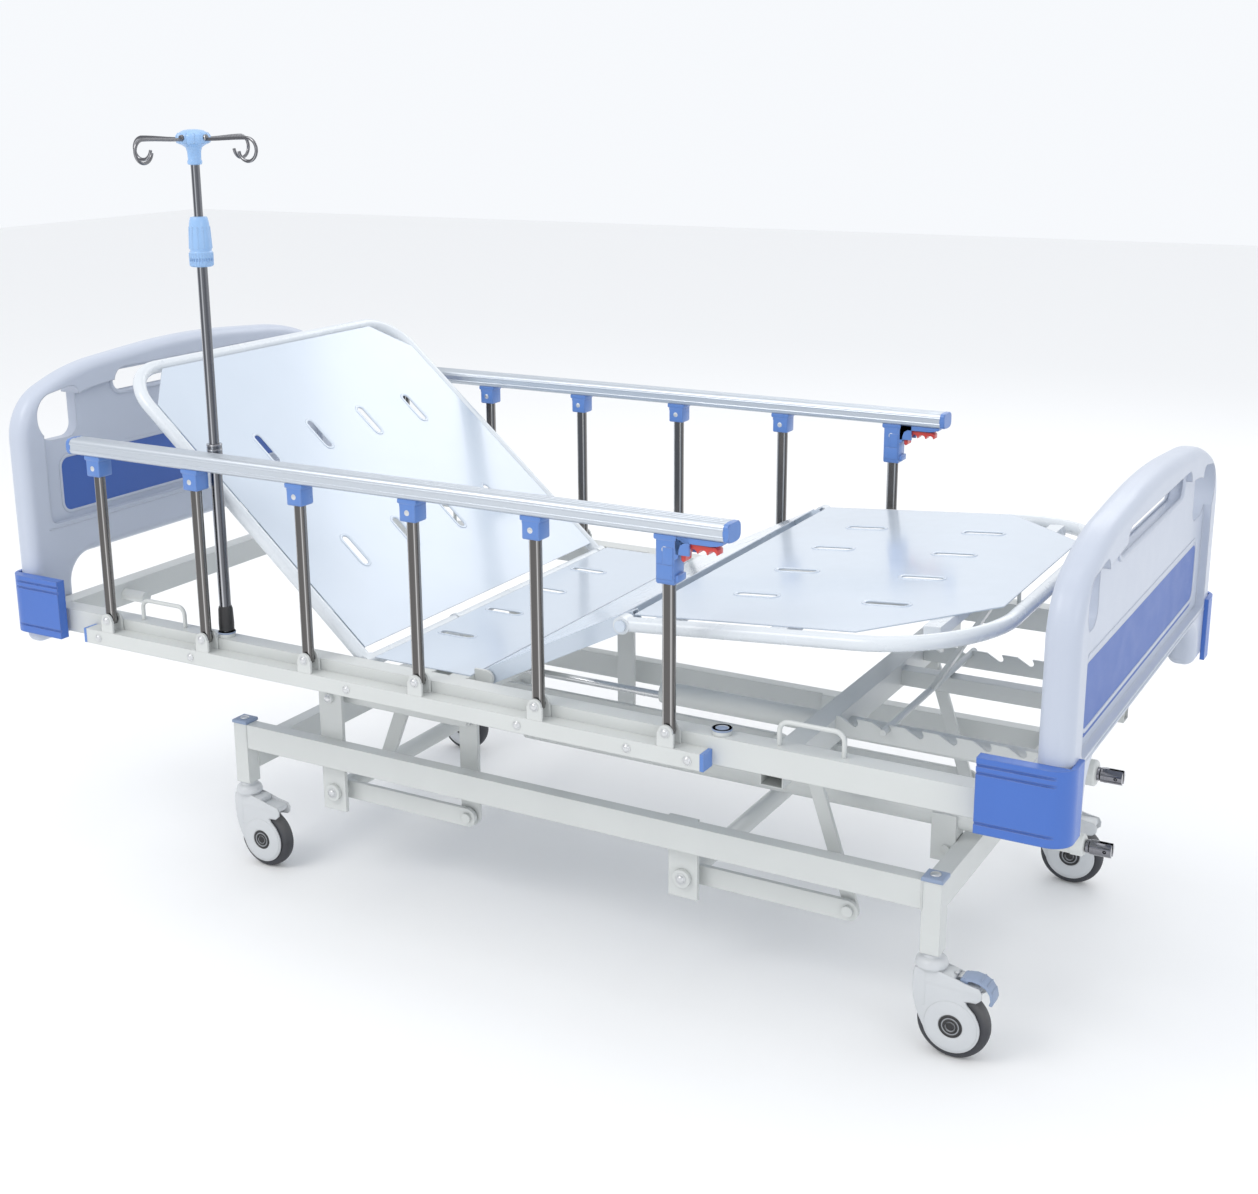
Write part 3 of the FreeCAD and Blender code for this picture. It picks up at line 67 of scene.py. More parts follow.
def surface_group():
    """Colour mottling, roughness spread, fine grain, rounded and slightly worn edges."""
    g = bpy.data.node_groups.new("surface_detail", "ShaderNodeTree")
    face = g.interface
    for name, kind, value in (("Color", "NodeSocketColor", (0.8, 0.8, 0.8, 1)),
                              ("Mottle", "NodeSocketFloat", 0.06),
                              ("Mottle Scale", "NodeSocketFloat", 9.0), ("Grain", "NodeSocketFloat", 0.05),
                              ("Grain Scale", "NodeSocketFloat", 700.0),
                              ("Roughness", "NodeSocketFloat", 0.4),
                              ("Spread", "NodeSocketFloat", 0.12), ("Edge Radius", "NodeSocketFloat", 0.0015),
                              ("Edge Light", "NodeSocketFloat", 0.15), ("Dust", "NodeSocketFloat", 0.15)):
        s = face.new_socket(name, in_out="INPUT", socket_type=kind)
        s.default_value = value
    for name, kind in (("Color", "NodeSocketColor"), ("Roughness", "NodeSocketFloat"),
                       ("Normal", "NodeSocketVector")):
        face.new_socket(name, in_out="OUTPUT", socket_type=kind)
    n = g.nodes
    gin = n.new("NodeGroupInput")
    gout = n.new("NodeGroupOutput")
    tc = n.new("ShaderNodeTexCoord")
    geo = n.new("ShaderNodeNewGeometry")

    def noise(scale_socket=None, scale=5.0, detail=4.0):
        t = n.new("ShaderNodeTexNoise")
        t.inputs["Detail"].default_value = detail
        t.inputs["Scale"].default_value = scale
        link(g, tc.outputs["Object"], t.inputs["Vector"])
        if scale_socket is not None:
            link(g, scale_socket, t.inputs["Scale"])
        return t.outputs["Fac"]

    def math_node(op, a, b=None, c=None, clamp=False):
        m = n.new("ShaderNodeMath")
        m.operation = op
        m.use_clamp = clamp
        for i, v in enumerate((a, b, c)):
            if v is None:
                continue
            if isinstance(v, (int, float)):
                m.inputs[i].default_value = v
            else:
                link(g, v, m.inputs[i])
        return m.outputs[0]

    def mix(kind, fac, a, b):
        m = n.new("ShaderNodeMix")
        m.data_type = "RGBA"
        m.blend_type = kind
        for i, v in ((0, fac), (6, a), (7, b)):
            if isinstance(v, (int, float, tuple)):
                m.inputs[i].default_value = v
            else:
                link(g, v, m.inputs[i])
        return m.outputs[2]

    large = noise(gin.outputs["Mottle Scale"], detail=5)
    value = math_node("MULTIPLY_ADD", math_node("SUBTRACT", large, 0.5),
                      math_node("MULTIPLY", gin.outputs["Mottle"], 2.0), 1.0)
    hsv = n.new("ShaderNodeHueSaturation")
    link(g, value, hsv.inputs["Value"])
    link(g, gin.outputs["Color"], hsv.inputs["Color"])
    bevel = n.new("ShaderNodeBevel")
    bevel.samples = 4
    link(g, gin.outputs["Edge Radius"], bevel.inputs["Radius"])
    dot = n.new("ShaderNodeVectorMath")
    dot.operation = "DOT_PRODUCT"
    link(g, bevel.outputs[0], dot.inputs[0])
    link(g, geo.outputs["Normal"], dot.inputs[1])
    edge = math_node("MULTIPLY", math_node("SUBTRACT", 1.0, dot.outputs["Value"]), 4.0, clamp=True)
    patchy = noise(scale=55.0, detail=6)
    edge = math_node("MULTIPLY", edge, math_node("MULTIPLY", patchy, gin.outputs["Edge Light"]), clamp=True)
    colour = mix("MIX", edge, hsv.outputs[0], (0.95, 0.95, 0.95, 1))
    up = n.new("ShaderNodeSeparateXYZ")
    link(g, geo.outputs["Normal"], up.inputs[0])
    dusty = math_node("MULTIPLY", math_node("MULTIPLY", up.outputs["Z"], noise(scale=14.0, detail=6),
                                            clamp=True),
                      gin.outputs["Dust"], clamp=True)
    colour = mix("MIX", dusty, colour, (0.62, 0.60, 0.56, 1))
    link(g, colour, gout.inputs["Color"])
    rough = math_node("MULTIPLY_ADD", math_node("SUBTRACT", noise(scale=23.0, detail=6), 0.5),
                      math_node("MULTIPLY", gin.outputs["Spread"], 2.0), gin.outputs["Roughness"], clamp=True)
    rough = math_node("MULTIPLY_ADD", dusty, 0.5, rough, clamp=True)
    link(g, rough, gout.inputs["Roughness"])
    bump = n.new("ShaderNodeBump")
    bump.inputs["Distance"].default_value = 0.0006
    link(g, gin.outputs["Grain"], bump.inputs["Strength"])
    link(g, noise(gin.outputs["Grain Scale"], detail=3), bump.inputs["Height"])
    link(g, bevel.outputs[0], bump.inputs["Normal"])
    link(g, bump.outputs[0], gout.inputs["Normal"])
    return g


GROUP = surface_group()


def material(name, color, rough=0.4, metal=0.0, mottle=0.04, mscale=9, grain=0.1, gscale=700, spread=0.08,
             edge=0.0015, light=0.15, dust=0.12, coat=0.0, brushed=None):
    m = bpy.data.materials.new(name)
    m.use_nodes = True
    t = m.node_tree
    bsdf = t.nodes["Principled BSDF"]
    g = t.nodes.new("ShaderNodeGroup")
    g.node_tree = GROUP
    for key, v in (("Mottle", mottle), ("Mottle Scale", mscale), ("Grain", grain), ("Grain Scale", gscale),
                   ("Roughness", rough), ("Spread", spread), ("Edge Radius", edge), ("Edge Light", light),
                   ("Dust", dust)):
        g.inputs[key].default_value = v
    g.inputs["Color"].default_value = tuple(color) + (1,)
    link(t, g.outputs["Color"], bsdf.inputs["Base Color"])
    link(t, g.outputs["Roughness"], bsdf.inputs["Roughness"])
    link(t, g.outputs["Normal"], bsdf.inputs["Normal"])
    bsdf.inputs["Metallic"].default_value = metal
    bsdf.inputs["Coat Weight"].default_value = coat
    bsdf.inputs["Coat Roughness"].default_value = 0.12
    if brushed:
        tc = t.nodes.new("ShaderNodeTexCoord")
        mp = t.nodes.new("ShaderNodeMapping")
        mp.inputs["Scale"].default_value = brushed
        tex = t.nodes.new("ShaderNodeTexNoise")
        tex.inputs["Scale"].default_value = 1.0
        tex.inputs["Detail"].default_value = 5
        link(t, tc.outputs["Object"], mp.inputs[0])
        link(t, mp.outputs[0], tex.inputs["Vector"])
        ramp = t.nodes.new("ShaderNodeMapRange")
        ramp.inputs["To Min"].default_value = max(0.02, rough - spread)
        ramp.inputs["To Max"].default_value = rough + spread * 1.6
        link(t, tex.outputs["Fac"], ramp.inputs["Value"])
        link(t, ramp.outputs[0], bsdf.inputs["Roughness"])
    return m


def reflection_banded(name, color, reflection_dark, rough, reflection_bands, brushed):
    """Polished tube: bright steel with painted reflection, dark and bright bands set by the way each side
    faces in the world.
    """
    m = material(name, color, rough, metal=1.0, mottle=0.03, grain=0.02, spread=0.05, edge=0.001, light=0.0,
                 dust=0.0,
                 brushed=brushed)
    t = m.node_tree
    bsdf = t.nodes["Principled BSDF"]
    source = bsdf.inputs["Base Color"].links[0].from_socket
    geo = t.nodes.new("ShaderNodeNewGeometry")
    split = t.nodes.new("ShaderNodeSeparateXYZ")
    link(t, geo.outputs["Normal"], split.inputs[0])
    turn = t.nodes.new("ShaderNodeMath")
    turn.operation = "ARCTAN2"
    link(t, split.outputs["Y"], turn.inputs[0])
    link(t, split.outputs["X"], turn.inputs[1])
    wave = t.nodes.new("ShaderNodeMath")
    wave.operation = "MULTIPLY_ADD"
    link(t, turn.outputs[0], wave.inputs[0])
    wave.inputs[1].default_value = 1 / (2 * math.pi)
    wave.inputs[2].default_value = 0.5
    # painted reflection: grey ramp of dark and bright bands round the tube, by which way each side faces
    ramp = t.nodes.new("ShaderNodeValToRGB")
    link(t, wave.outputs[0], ramp.inputs[0])
    e = ramp.color_ramp.elements
    e[0].position, e[0].color = reflection_bands[0][0], (reflection_bands[0][1],) * 3 + (1,)
    e[1].position, e[1].color = reflection_bands[-1][0], (reflection_bands[-1][1],) * 3 + (1,)
    for at, v in reflection_bands[1:-1]:
        n = e.new(at)
        n.color = (v, v, v, 1)
    # mix the steel toward its dark colour where the painted reflection band is dark
    reflection_mix = t.nodes.new("ShaderNodeMix")
    reflection_mix.data_type = "RGBA"
    link(t, ramp.outputs["Color"], reflection_mix.inputs[0])
    reflection_mix.inputs[6].default_value = tuple(reflection_dark) + (1,)
    link(t, source, reflection_mix.inputs[7])
    link(t, reflection_mix.outputs[2], bsdf.inputs["Base Color"])
    return m


# painted reflection bands round a polished tube: position by facing direction, 0 gives the dark colour, 1 the
# bright steel
REFLECTION_BANDS = [(0.0, 0.15), (0.06, 0.05), (0.13, 0.35), (0.17, 0.95), (0.20, 0.3), (0.235, 0.02), (0.29, 0.10),
         (0.315, 0.75),
         (0.345, 0.15), (0.42, 0.03), (0.50, 0.25), (0.60, 0.04), (0.67, 0.8), (0.72, 0.1), (0.85, 0.03),
         (0.93, 0.5), (1.0, 0.15)]
LOOKS = {
    "frame": material("frame_powder_coat", (0.60, 0.62, 0.61), 0.40, mottle=0.05, grain=0.35, gscale=420,
                      edge=0.0022,
                      light=0.25, coat=0.25),
    "deck": material("deck_enamel", (0.56, 0.63, 0.72), 0.2, mottle=0.03, mscale=5, grain=0.08, gscale=260,
                     coat=0.55, dust=0.06),
    "loop": material("loop_enamel", (0.66, 0.70, 0.74), 0.26, grain=0.12, coat=0.4),
    "board": material("board_abs", (0.50, 0.545, 0.64), 0.36, mottle=0.03, mscale=4, grain=0.3, gscale=900,
                      edge=0.004,
                      light=0.1, dust=0.05, coat=0.15),
    "panel": material("panel_blue", (0.045, 0.12, 0.42), 0.4, mottle=0.05, mscale=6, grain=0.45,
                      gscale=1100, edge=0.002,
                      dust=0.03),
    "bumper": material("bumper_blue", (0.05, 0.145, 0.50), 0.36, mottle=0.05, grain=0.3, gscale=900,
                       edge=0.003, light=0.2,
                       dust=0.06, coat=0.1),
    "joint": material("joint_blue", (0.10, 0.22, 0.55), 0.3, mottle=0.05, grain=0.2, gscale=900, edge=0.002,
                      light=0.2,
                      dust=0.05, coat=0.2),
    "cap": material("cap_grey_blue", (0.26, 0.33, 0.47), 0.45, grain=0.35, gscale=900, edge=0.002),
    # posts and pole: painted reflection bands mixed toward the dark colour
    "post": reflection_banded("post_stainless", (0.80, 0.79, 0.78), (0.085, 0.08, 0.078), 0.17, REFLECTION_BANDS, (260, 260, 9)),
    "pole": reflection_banded("pole_stainless", (0.78, 0.79, 0.82), (0.075, 0.078, 0.09), 0.17, REFLECTION_BANDS, (300, 300, 7)),
    "alu": material("rail_anodised", (0.58, 0.62, 0.67), 0.34, metal=1.0, mottle=0.03, grain=0.08,
                    spread=0.07,
                    edge=0.0015, light=0.05, dust=0.06, brushed=(5, 420, 420)),
    "red": material("trigger_red", (0.62, 0.04, 0.03), 0.3, grain=0.2, gscale=900, edge=0.002, coat=0.3,
                    dust=0.02),
    "hub": material("hub_blue", (0.28, 0.47, 0.76), 0.3, grain=0.15, gscale=900, edge=0.002, coat=0.3,
                    dust=0.04),
    "housing": material("housing_offwhite", (0.58, 0.60, 0.62), 0.34, mottle=0.05, grain=0.25, gscale=900,
                        edge=0.003,
                        coat=0.2, dust=0.2),
    "tyre": material("tyre_grey", (0.045, 0.047, 0.055), 0.62, mottle=0.15, mscale=30, grain=0.6,
                     gscale=600, edge=0.002,
                     light=0.35, dust=0.35),
    "hubcap": material("hubcap_grey", (0.42, 0.44, 0.47), 0.4, mottle=0.08, grain=0.25, edge=0.002,
                       dust=0.25),
    "zinc": material("bright_zinc", (0.66, 0.67, 0.68), 0.28, metal=1.0, mottle=0.1, mscale=40, grain=0.15,
                     dust=0.1),
    # chrome and hook wire: painted reflection bands as well
    "chrome": reflection_banded("chrome", (0.86, 0.87, 0.89), (0.20, 0.20, 0.22), 0.08, REFLECTION_BANDS, (40, 40, 40)),
    "wire": reflection_banded("hook_wire", (0.70, 0.70, 0.72), (0.10, 0.10, 0.11), 0.16, REFLECTION_BANDS, (60, 60, 60)),
    "black": material("black_plastic", (0.018, 0.018, 0.02), 0.42, grain=0.3, dust=0.15),
    "weld": material("weld_painted", (0.56, 0.58, 0.57), 0.5, mottle=0.12, mscale=60, grain=0.8, gscale=260),
}
FINISH = {"frame_paint": "frame", "deck_paint": "deck", "loop_paint": "loop", "board_abs": "board",
          "panel_blue": "panel",
          "bumper_blue": "bumper", "fitting_blue": "joint", "cap_grey_blue": "cap", "post_steel": "post",
          "pole_steel": "pole", "rail_alu": "alu", "trigger_red": "red", "hub_blue": "hub",
          "housing_white": "housing", "tyre": "tyre", "zinc": "zinc"}
SPIN = -1    # transform.rotate turns the other way when there is no window
SLOT_OF = {s["node"]: s["material_slot"] for s in frame["record"]["subparts"]}


def smooth(me, angle):
    me.polygons.foreach_set("use_smooth", [True] * len(me.polygons))
    me.set_sharp_from_angle(angle=math.radians(angle))


def dress(node):
    o = NODES[node]
    m = LOOKS[FINISH[SLOT_OF[node]]]
    o.data.materials.clear()
    o.data.materials.append(m)
    smooth(o.data, 34)


for node in NODES:
    dress(node)


# ---------------------------- modelling by operators (design mm, row metres)
SHAPES = {}


def start(add_primitive, **how):
    """Add a primitive with nothing else selected and go into edit mode on it, all of it selected."""
    bpy.ops.object.select_all(action="DESELECT")
    add_primitive(**how)
    bpy.ops.object.mode_set(mode="EDIT")
    bpy.ops.mesh.select_all(action="SELECT")


def finish_shape(key):
    """Leave edit mode with clean outward faces and keep the mesh as the model for copies."""
    bpy.ops.mesh.select_all(action="SELECT")
    bpy.ops.mesh.remove_doubles(threshold=1e-6)
    bpy.ops.mesh.normals_make_consistent(inside=False)
    bpy.ops.object.mode_set(mode="OBJECT")
    bpy.ops.object.transform_apply(location=True, rotation=True, scale=True)
    o = bpy.context.object
    SHAPES[key] = o.data
    bpy.data.objects.remove(o)
    return SHAPES[key]


def turned_shape(profile, n):
    """Disc pulled up its axis ring by ring: profile of (radius mm, height mm)."""
    key = ("turned", tuple(profile), n)
    if key in SHAPES:
        return SHAPES[key]
    closed = profile[0] == profile[-1]
    r, h = profile[0]
    r = max(r, 0.02)
    start(bpy.ops.mesh.primitive_circle_add, vertices=n, radius=r / 1000, location=(0, 0, h / 1000),
          fill_type="NOTHING" if closed else "NGON")
    for r2, h2 in profile[1:]:
        r2 = max(r2, 0.02)
        move = {"value": (0, 0, (h2 - h) / 1000)}
        if closed:
            bpy.ops.mesh.extrude_edges_move(TRANSFORM_OT_translate=move)
        else:
            bpy.ops.mesh.extrude_region_move(TRANSFORM_OT_translate=move)
        bpy.ops.transform.resize(value=(r2 / r, r2 / r, 1), center_override=(0, 0, h2 / 1000))
        r, h = r2, h2
    return finish_shape(key)


def block_shape(size, r):
    """Cube scaled to size mm with bevelled edges, its middle at the origin."""
    key = ("block", tuple(round(a, 4) for a in size), r)
    if key in SHAPES:
        return SHAPES[key]
    start(bpy.ops.mesh.primitive_cube_add, size=0.001, location=(0, 0, 0))
    bpy.ops.transform.resize(value=size, center_override=(0, 0, 0))
    bpy.ops.mesh.bevel(offset=min(r, min(size) * 0.45) / 1000, segments=2, affect="EDGES", profile=0.5)
    return finish_shape(key)


def outline_start(points):
    """Draw a closed outline by extruding one vertex from point to point, and fill it."""
    start(bpy.ops.mesh.primitive_plane_add, size=0.001, location=points[0])
    bpy.ops.mesh.merge(type="CENTER")
    for a, b in zip(points, points[1:]):
        bpy.ops.mesh.extrude_vertices_move(TRANSFORM_OT_translate={"value": b - a})
    bpy.ops.mesh.select_all(action="SELECT")
    bpy.ops.mesh.edge_face_add()


class Mesh:
    """Collects several closed forms, each modelled by operators, and joins them in one piece."""

    def __init__(self):
        self.parts = []

    def copy(self, shape, matrix):
        """Place a copy of a modelled shape, with its own mesh."""
        me = shape.copy()
        me.transform(matrix)
        o = bpy.data.objects.new("form", me)
        bpy.context.scene.collection.objects.link(o)
        self.parts.append(o)
        return self

    def lathe(self, at, axis, profile, n=40):
        """Turned form: profile of (radius mm, distance mm along the axis) from a design point."""
        a = Vector(axis).normalized()
        u = a.orthogonal().normalized()
        w = a.cross(u)
        turn = Matrix((u, w, a)).transposed().to_4x4()
        return self.copy(turned_shape(profile, n), Matrix.Translation(place(*at)) @ turn)

    def block(self, lo, hi, r=1.5):
        """Box with bevelled edges between two design corners."""
        c = [(a + b) / 2 for a, b in zip(lo, hi)]
        size = [abs(b - a) for a, b in zip(lo, hi)]
        return self.copy(block_shape(size, r), Matrix.Translation(place(*c)))

    def plate(self, rings):
        """Plate through rings of design points: the first is drawn, then extruded ring by ring."""
        rows = [[place(*p) for p in row] for row in rings]
        outline_start(rows[0])
        for before, after in zip(rows, rows[1:]):
            c0 = sum(before, Vector()) / len(before)
            c1 = sum(after, Vector()) / len(after)
            bpy.ops.mesh.extrude_region_move(TRANSFORM_OT_translate={"value": c1 - c0})
            size = [(max(p[k] for p in after) - min(p[k] for p in after)) /
                    max(1e-9, max(p[k] for p in before) - min(p[k] for p in before)) for k in (0, 2)]
            bpy.ops.transform.resize(value=(size[0], 1, size[1]), center_override=c1)
        return self.copy(finish_shape("plate"), Matrix.Identity(4))

    def sweep(self, points, section, closed=False, up=(0, 0, 1)):
        """Section of (a, b) mm pairs drawn at the first design point and extruded from point to point."""
        pts = [place(*p) for p in points]
        count = len(pts)
        normal = Vector(up)
        frames = []
        for j, p in enumerate(pts):
            before = pts[(j - 1) % count] if closed or j else p
            after = pts[(j + 1) % count] if closed or j < count - 1 else p
            t = (after - before).normalized()
            normal = normal - t * normal.dot(t)
            if normal.length < 1e-6:
                normal = t.orthogonal()
            normal.normalize()
            frames.append(Matrix((t.cross(normal), normal, t)).transposed())
        outline_start([pts[0] + frames[0] @ Vector((a / 1000, b / 1000, 0)) for a, b in section])
        if closed:
            bpy.ops.mesh.delete(type="ONLY_FACE")
            bpy.ops.mesh.select_all(action="SELECT")
        stations = list(range(1, count)) + ([0] if closed else [])
        last = 0
        for j in stations:
            move = {"value": pts[j] - pts[last]}
            if closed:
                bpy.ops.mesh.extrude_edges_move(TRANSFORM_OT_translate=move)
            else:
                bpy.ops.mesh.extrude_region_move(TRANSFORM_OT_translate=move)
            turn = (frames[j] @ frames[last].inverted()).to_euler("XYZ")
            for axis, angle in zip("XYZ", turn):
                if abs(angle) > 1e-6:
                    bpy.ops.transform.rotate(value=SPIN * angle, orient_axis=axis, orient_type="GLOBAL",
                                             center_override=pts[j])
            last = j
        return self.copy(finish_shape("sweep"), Matrix.Identity(4))

    def rotated(self, x, z, angle):
        """Turn everything about a line along Y through the design point (x, z)."""
        c = place(x, 0, z)
        m = Matrix.Translation(c) @ Matrix.Rotation(math.radians(angle), 4, "Y") @ Matrix.Translation(-c)
        for o in self.parts:
            o.data.transform(m)
        return self

    def done(self, name, body, mat, slot, angle=35):
        """Join the forms, give the piece its finish and hang it on its body."""
        bpy.ops.object.select_all(action="DESELECT")
        for o in self.parts:
            o.select_set(True)
        bpy.context.view_layer.objects.active = self.parts[0]
        if len(self.parts) > 1:
            bpy.ops.object.join()
        o = self.parts[0]
        o.name = name
        o.data.name = name
        smooth(o.data, angle)
        o.data.materials.clear()
        o.data.materials.append(LOOKS[mat])
        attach(o, body)
        return o


def ring(r, n=12):
    return [(r * math.cos(2 * math.pi * i / n), r * math.sin(2 * math.pi * i / n)) for i in range(n)]


def dome(r, h, base=0.0, steps=6):
    """Profile of a low dome of radius r and height h."""
    return [(r, base)] + [(r * math.cos(math.pi / 2 * k / steps),
                           base + 0.6 + h * math.sin(math.pi / 2 * k / steps))
                          for k in range(steps + 1)]


def bolt_profile(r, h):
    """Washer and low domed head."""
    return [(r * 1.25, -0.4), (r * 1.25, 1.2), (r, 1.3)] + [(r * math.cos(math.pi / 2 * k / 6),
            1.3 + h * math.sin(math.pi / 2 * k / 6)) for k in range(7)]


# ---------------------------- casters
LEG_X, LEG_Y = 713.5, 354.0      # base leg axes
WHEEL_TRAIL, AXLE_Z = 41.0, 60.0
CASTERS = {"near_head": (-1, -1, False), "near_foot": (1, -1, True), "far_head": (-1, 1, True),
           "far_foot": (1, 1, False)}


def caster(name, sx, sy, pedal):
    x, y = sx * LEG_X, sy * LEG_Y
    ax, az = x + WHEEL_TRAIL, AXLE_Z
    tyre = Mesh()
    crown = [(40, -13.2), (47, -13.6), (52, -13.6), (55.5, -12.4), (58.3, -9.6), (59.6, -5.2), (60.0, 0),
             (59.6, 5.2), (58.3, 9.6), (55.5, 12.4), (52, 13.6), (47, 13.6), (40, 13.2), (40, -13.2)]
    tyre.lathe((ax, y, az), (0, 1, 0), crown, 72)
    t = tyre.done("tyre_" + name, "wheel_" + name, "tyre", "tyre", 40)
    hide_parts("caster_wheel_" + name)
    hub = Mesh()
    disc = [(6, -13.5), (13, -13.5), (14, -12.4), (18, -12.2), (19, -11), (22, -11), (23, -12.4), (29, -12.4),
            (30, -11.2), (33, -11.2), (34, -12.6), (39.9, -12.6)]
    disc = disc + [(r, -h) for r, h in reversed(disc)] + disc[:1]
    hub.lathe((ax, y, az), (0, 1, 0), disc, 60)
    hub.done("wheel_hub_" + name, "wheel_" + name, "hubcap", "tyre", 25)
    body = Mesh()
    skirt = [(9, 173.2), (13.5, 173.2), (15, 171), (15.5, 168), (20, 166.5), (24.5, 162), (26.5, 156),
             (26.5, 152.5), (24.5, 151),
             (24.5, 149.5), (23.5, 148), (9, 147)]
    body.lathe((x, y, 0), (0, 0, 1), [(r, h) for r, h in reversed(skirt)], 48)
    outer = []
    inner = []
    for k in range(17):
        a = math.radians(90 + 180 * k / 16)
        outer.append((19.0 * math.sin(a), -4 + 21 * math.cos(a)))
        inner.append((15.2 * math.sin(a), -4 + 17 * math.cos(a)))
    shell = [(b, -a) for a, b in outer] + [(b, -a) for a, b in reversed(inner)]
    body.sweep([(x, y, 86), (x, y, 120), (x, y, 149)], [(p[1], p[0]) for p in shell], up=(1, 0, 0))
    body.block((x - 12, y - 18.9, 122.5), (x + 84, y + 18.9, 136), 5)
    body.block((x - 14, y - 17.5, 134), (x + 44, y + 17.5, 148), 5)
    for s in (-1, 1):
        pts = [(x - 22, 149), (x - 24, 140), (x - 24.5, 118), (x - 23, 96), (x - 19, 80), (x - 12, 62)]
        for a in range(196, 386, 8):
            t = math.radians(a)
            pts.append((ax + 47 * math.cos(t), az + 47 * math.sin(t)))
        pts += [(ax + 37, 90), (x + 66, 102), (x + 62, 110), (x + 70, 112), (x + 82, 113), (x + 88, 118),
                (x + 89, 128),
                (x + 84, 136), (x + 60, 140), (x + 34, 147), (x + 20, 150)]
        y0, y1 = sorted((y + s * 15.1, y + s * 19))
        cx = sum(p[0] for p in pts) / len(pts)
        cz = sum(p[1] for p in pts) / len(pts)
        shrink = [(cx + (a - cx) * 0.95, cz + (b - cz) * 0.95) for a, b in pts]
        if s > 0:
            rows = [(pts, y0), (pts, y1 - 1.4), (shrink, y1)]
        else:
            rows = [(shrink, y0), (pts, y0 + 1.4), (pts, y1)]
        body.plate([[(a, h, b) for a, b in outline] for outline, h in rows])
    if pedal:
        tongue = Mesh()
        tongue.lathe((x + 58, y - 13.5, 141), (0, 1, 0), [(3.2, 0), (7, 0.3), (7, 26.7), (3.2, 27)], 24)
        path = [(60, 145), (72, 147), (84, 145), (95, 139), (102, 129), (104, 118), (102, 111)]
        tongue.sweep([(x + a, y, b) for a, b in path],
                     [(-16, -1.5), (-16, 1.8), (-14, 3), (14, 3), (16, 1.8), (16, -1.5), (14, -2.4),
                      (-14, -2.4)])
        for k in range(3):
            c = path[2 + k]
            tongue.sweep([(x + c[0] + 1.2, y - 13, c[1] + 3.4), (x + c[0] + 1.2, y + 13, c[1] + 3.4)],
                         ring(1.3, 8))
        tg = tongue.done("brake_tongue_" + name, "pedal_" + name, "cap", "cap_grey_blue", 40)
        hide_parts("brake_pedal_" + name)
        gear = Mesh()
        gear.lathe((x + 50, y - 8, 141), (0, 1, 0), [(3, 0), (5.5, 0.3), (5.5, 15.7), (3, 16)], 12)
        gear.lathe((x + 43, y - 4, 149), (0, 0, 1), bolt_profile(3.4, 2), 6)
        gear.done("brake_gear_" + name, "caster_" + name, "zinc", "zinc", 30)
    b = body.done("caster_fork_" + name, "caster_" + name, "housing", "housing_white", 30)
    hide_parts("caster_housing_" + name)
    cover = Mesh()
    for s in (-1, 1):
        cover.lathe((ax, y + s * 18.4, az), (0, s, 0),
                    [(44, -0.4), (44, 0.7), (42.5, 1.3), (30, 1.8), (21, 2.0), (20, 1.2), (19, 0.4)], 64)
    cover.done("hub_cover_" + name, "caster_" + name, "housing", "housing_white", 25)
    trim = Mesh()
    for s in (-1, 1):
        trim.lathe((ax, y + s * 19.2, az), (0, s, 0),
                   [(19.4, -0.2), (19.4, 0.8), (17.6, 1.4), (15.6, 1.4), (15, 0.4), (12.6, 0.4), (12, 1.5),
                    (9.6, 1.7), (9, 0.6),
                    (6.8, 0.6), (6.2, 1.8), (1, 2.0)], 48)
    trim.done("axle_cap_" + name, "caster_" + name, "black", "housing_white", 25)
    face = Mesh()
    for s in (-1, 1):
        face.lathe((ax, y + s * 19.7, az), (0, s, 0),
                   [(14.6, -0.1), (14.6, 0.35), (12.8, 0.35), (12.8, -0.1)], 48)
        face.lathe((ax, y + s * 19.9, az), (0, s, 0), [(8.8, -0.1), (8.8, 0.35), (7.0, 0.35), (7.0, -0.1)],
                   48)
    face.done("axle_rings_" + name, "caster_" + name, "hubcap", "housing_white", 25)
    stem = Mesh()
    stem.lathe((x, y, 0), (0, 0, 1), [(7.9, 165), (7.9, 211)], 24)
    stem.done("caster_stem_" + name, "caster_" + name, "zinc", "zinc", 30)


for name, (sx, sy, pedal) in CASTERS.items():
    caster(name, sx, sy, pedal)


# ---------------------------- pressed rims round the deck slots
SLOT_HALF, SLOT_R = 28.0, 11.5


def slot_rim(m, cx, y, z):
    outline = []
    for k in range(13):
        a = -math.pi / 2 + math.pi * k / 12
        outline.append((cx + SLOT_HALF + SLOT_R * math.cos(a), y + SLOT_R * math.sin(a), z))
    for k in range(13):
        a = math.pi / 2 + math.pi * k / 12
        outline.append((cx - SLOT_HALF + SLOT_R * math.cos(a), y + SLOT_R * math.sin(a), z))
    m.sweep(outline, [(-3.6, -0.3), (-2.6, 0.9), (-0.4, 1.7), (2.0, 1.5), (3.0, 0.4), (3.2, -1.2)],
            closed=True)


BACK_X, BACK_Z, BACK_DEG = -345.0, 505.0, 41.0
THIGH_X, THIGH_Z, THIGH_DEG = -92.0, 515.0, 27.3
KNEE_X = THIGH_X + 318 * math.cos(math.radians(THIGH_DEG))
KNEE_Z = THIGH_Z + 318 * math.sin(math.radians(THIGH_DEG))

back = Mesh()
for u in (216, 490):
    for y in (-245, -83, 83, 245):
        slot_rim(back, BACK_X - u, y, BACK_Z + 10)
back.rotated(BACK_X, BACK_Z, BACK_DEG).done("back_slot_rims", "back", "deck", "deck_paint", 40)
seat = Mesh()
for y in (-245, -82, 82, 245):
    slot_rim(seat, -268, y, 520)
seat.done("seat_slot_rims", "bed", "deck", "deck_paint", 40)
leg = Mesh()
for u in (161, 390):
    for y in (-250, -83, 83, 250):
        slot_rim(leg, KNEE_X + u, y, KNEE_Z + 14.5)
leg.rotated(KNEE_X, KNEE_Z, -4.5).done("leg_slot_rims", "leg", "deck", "deck_paint", 40)
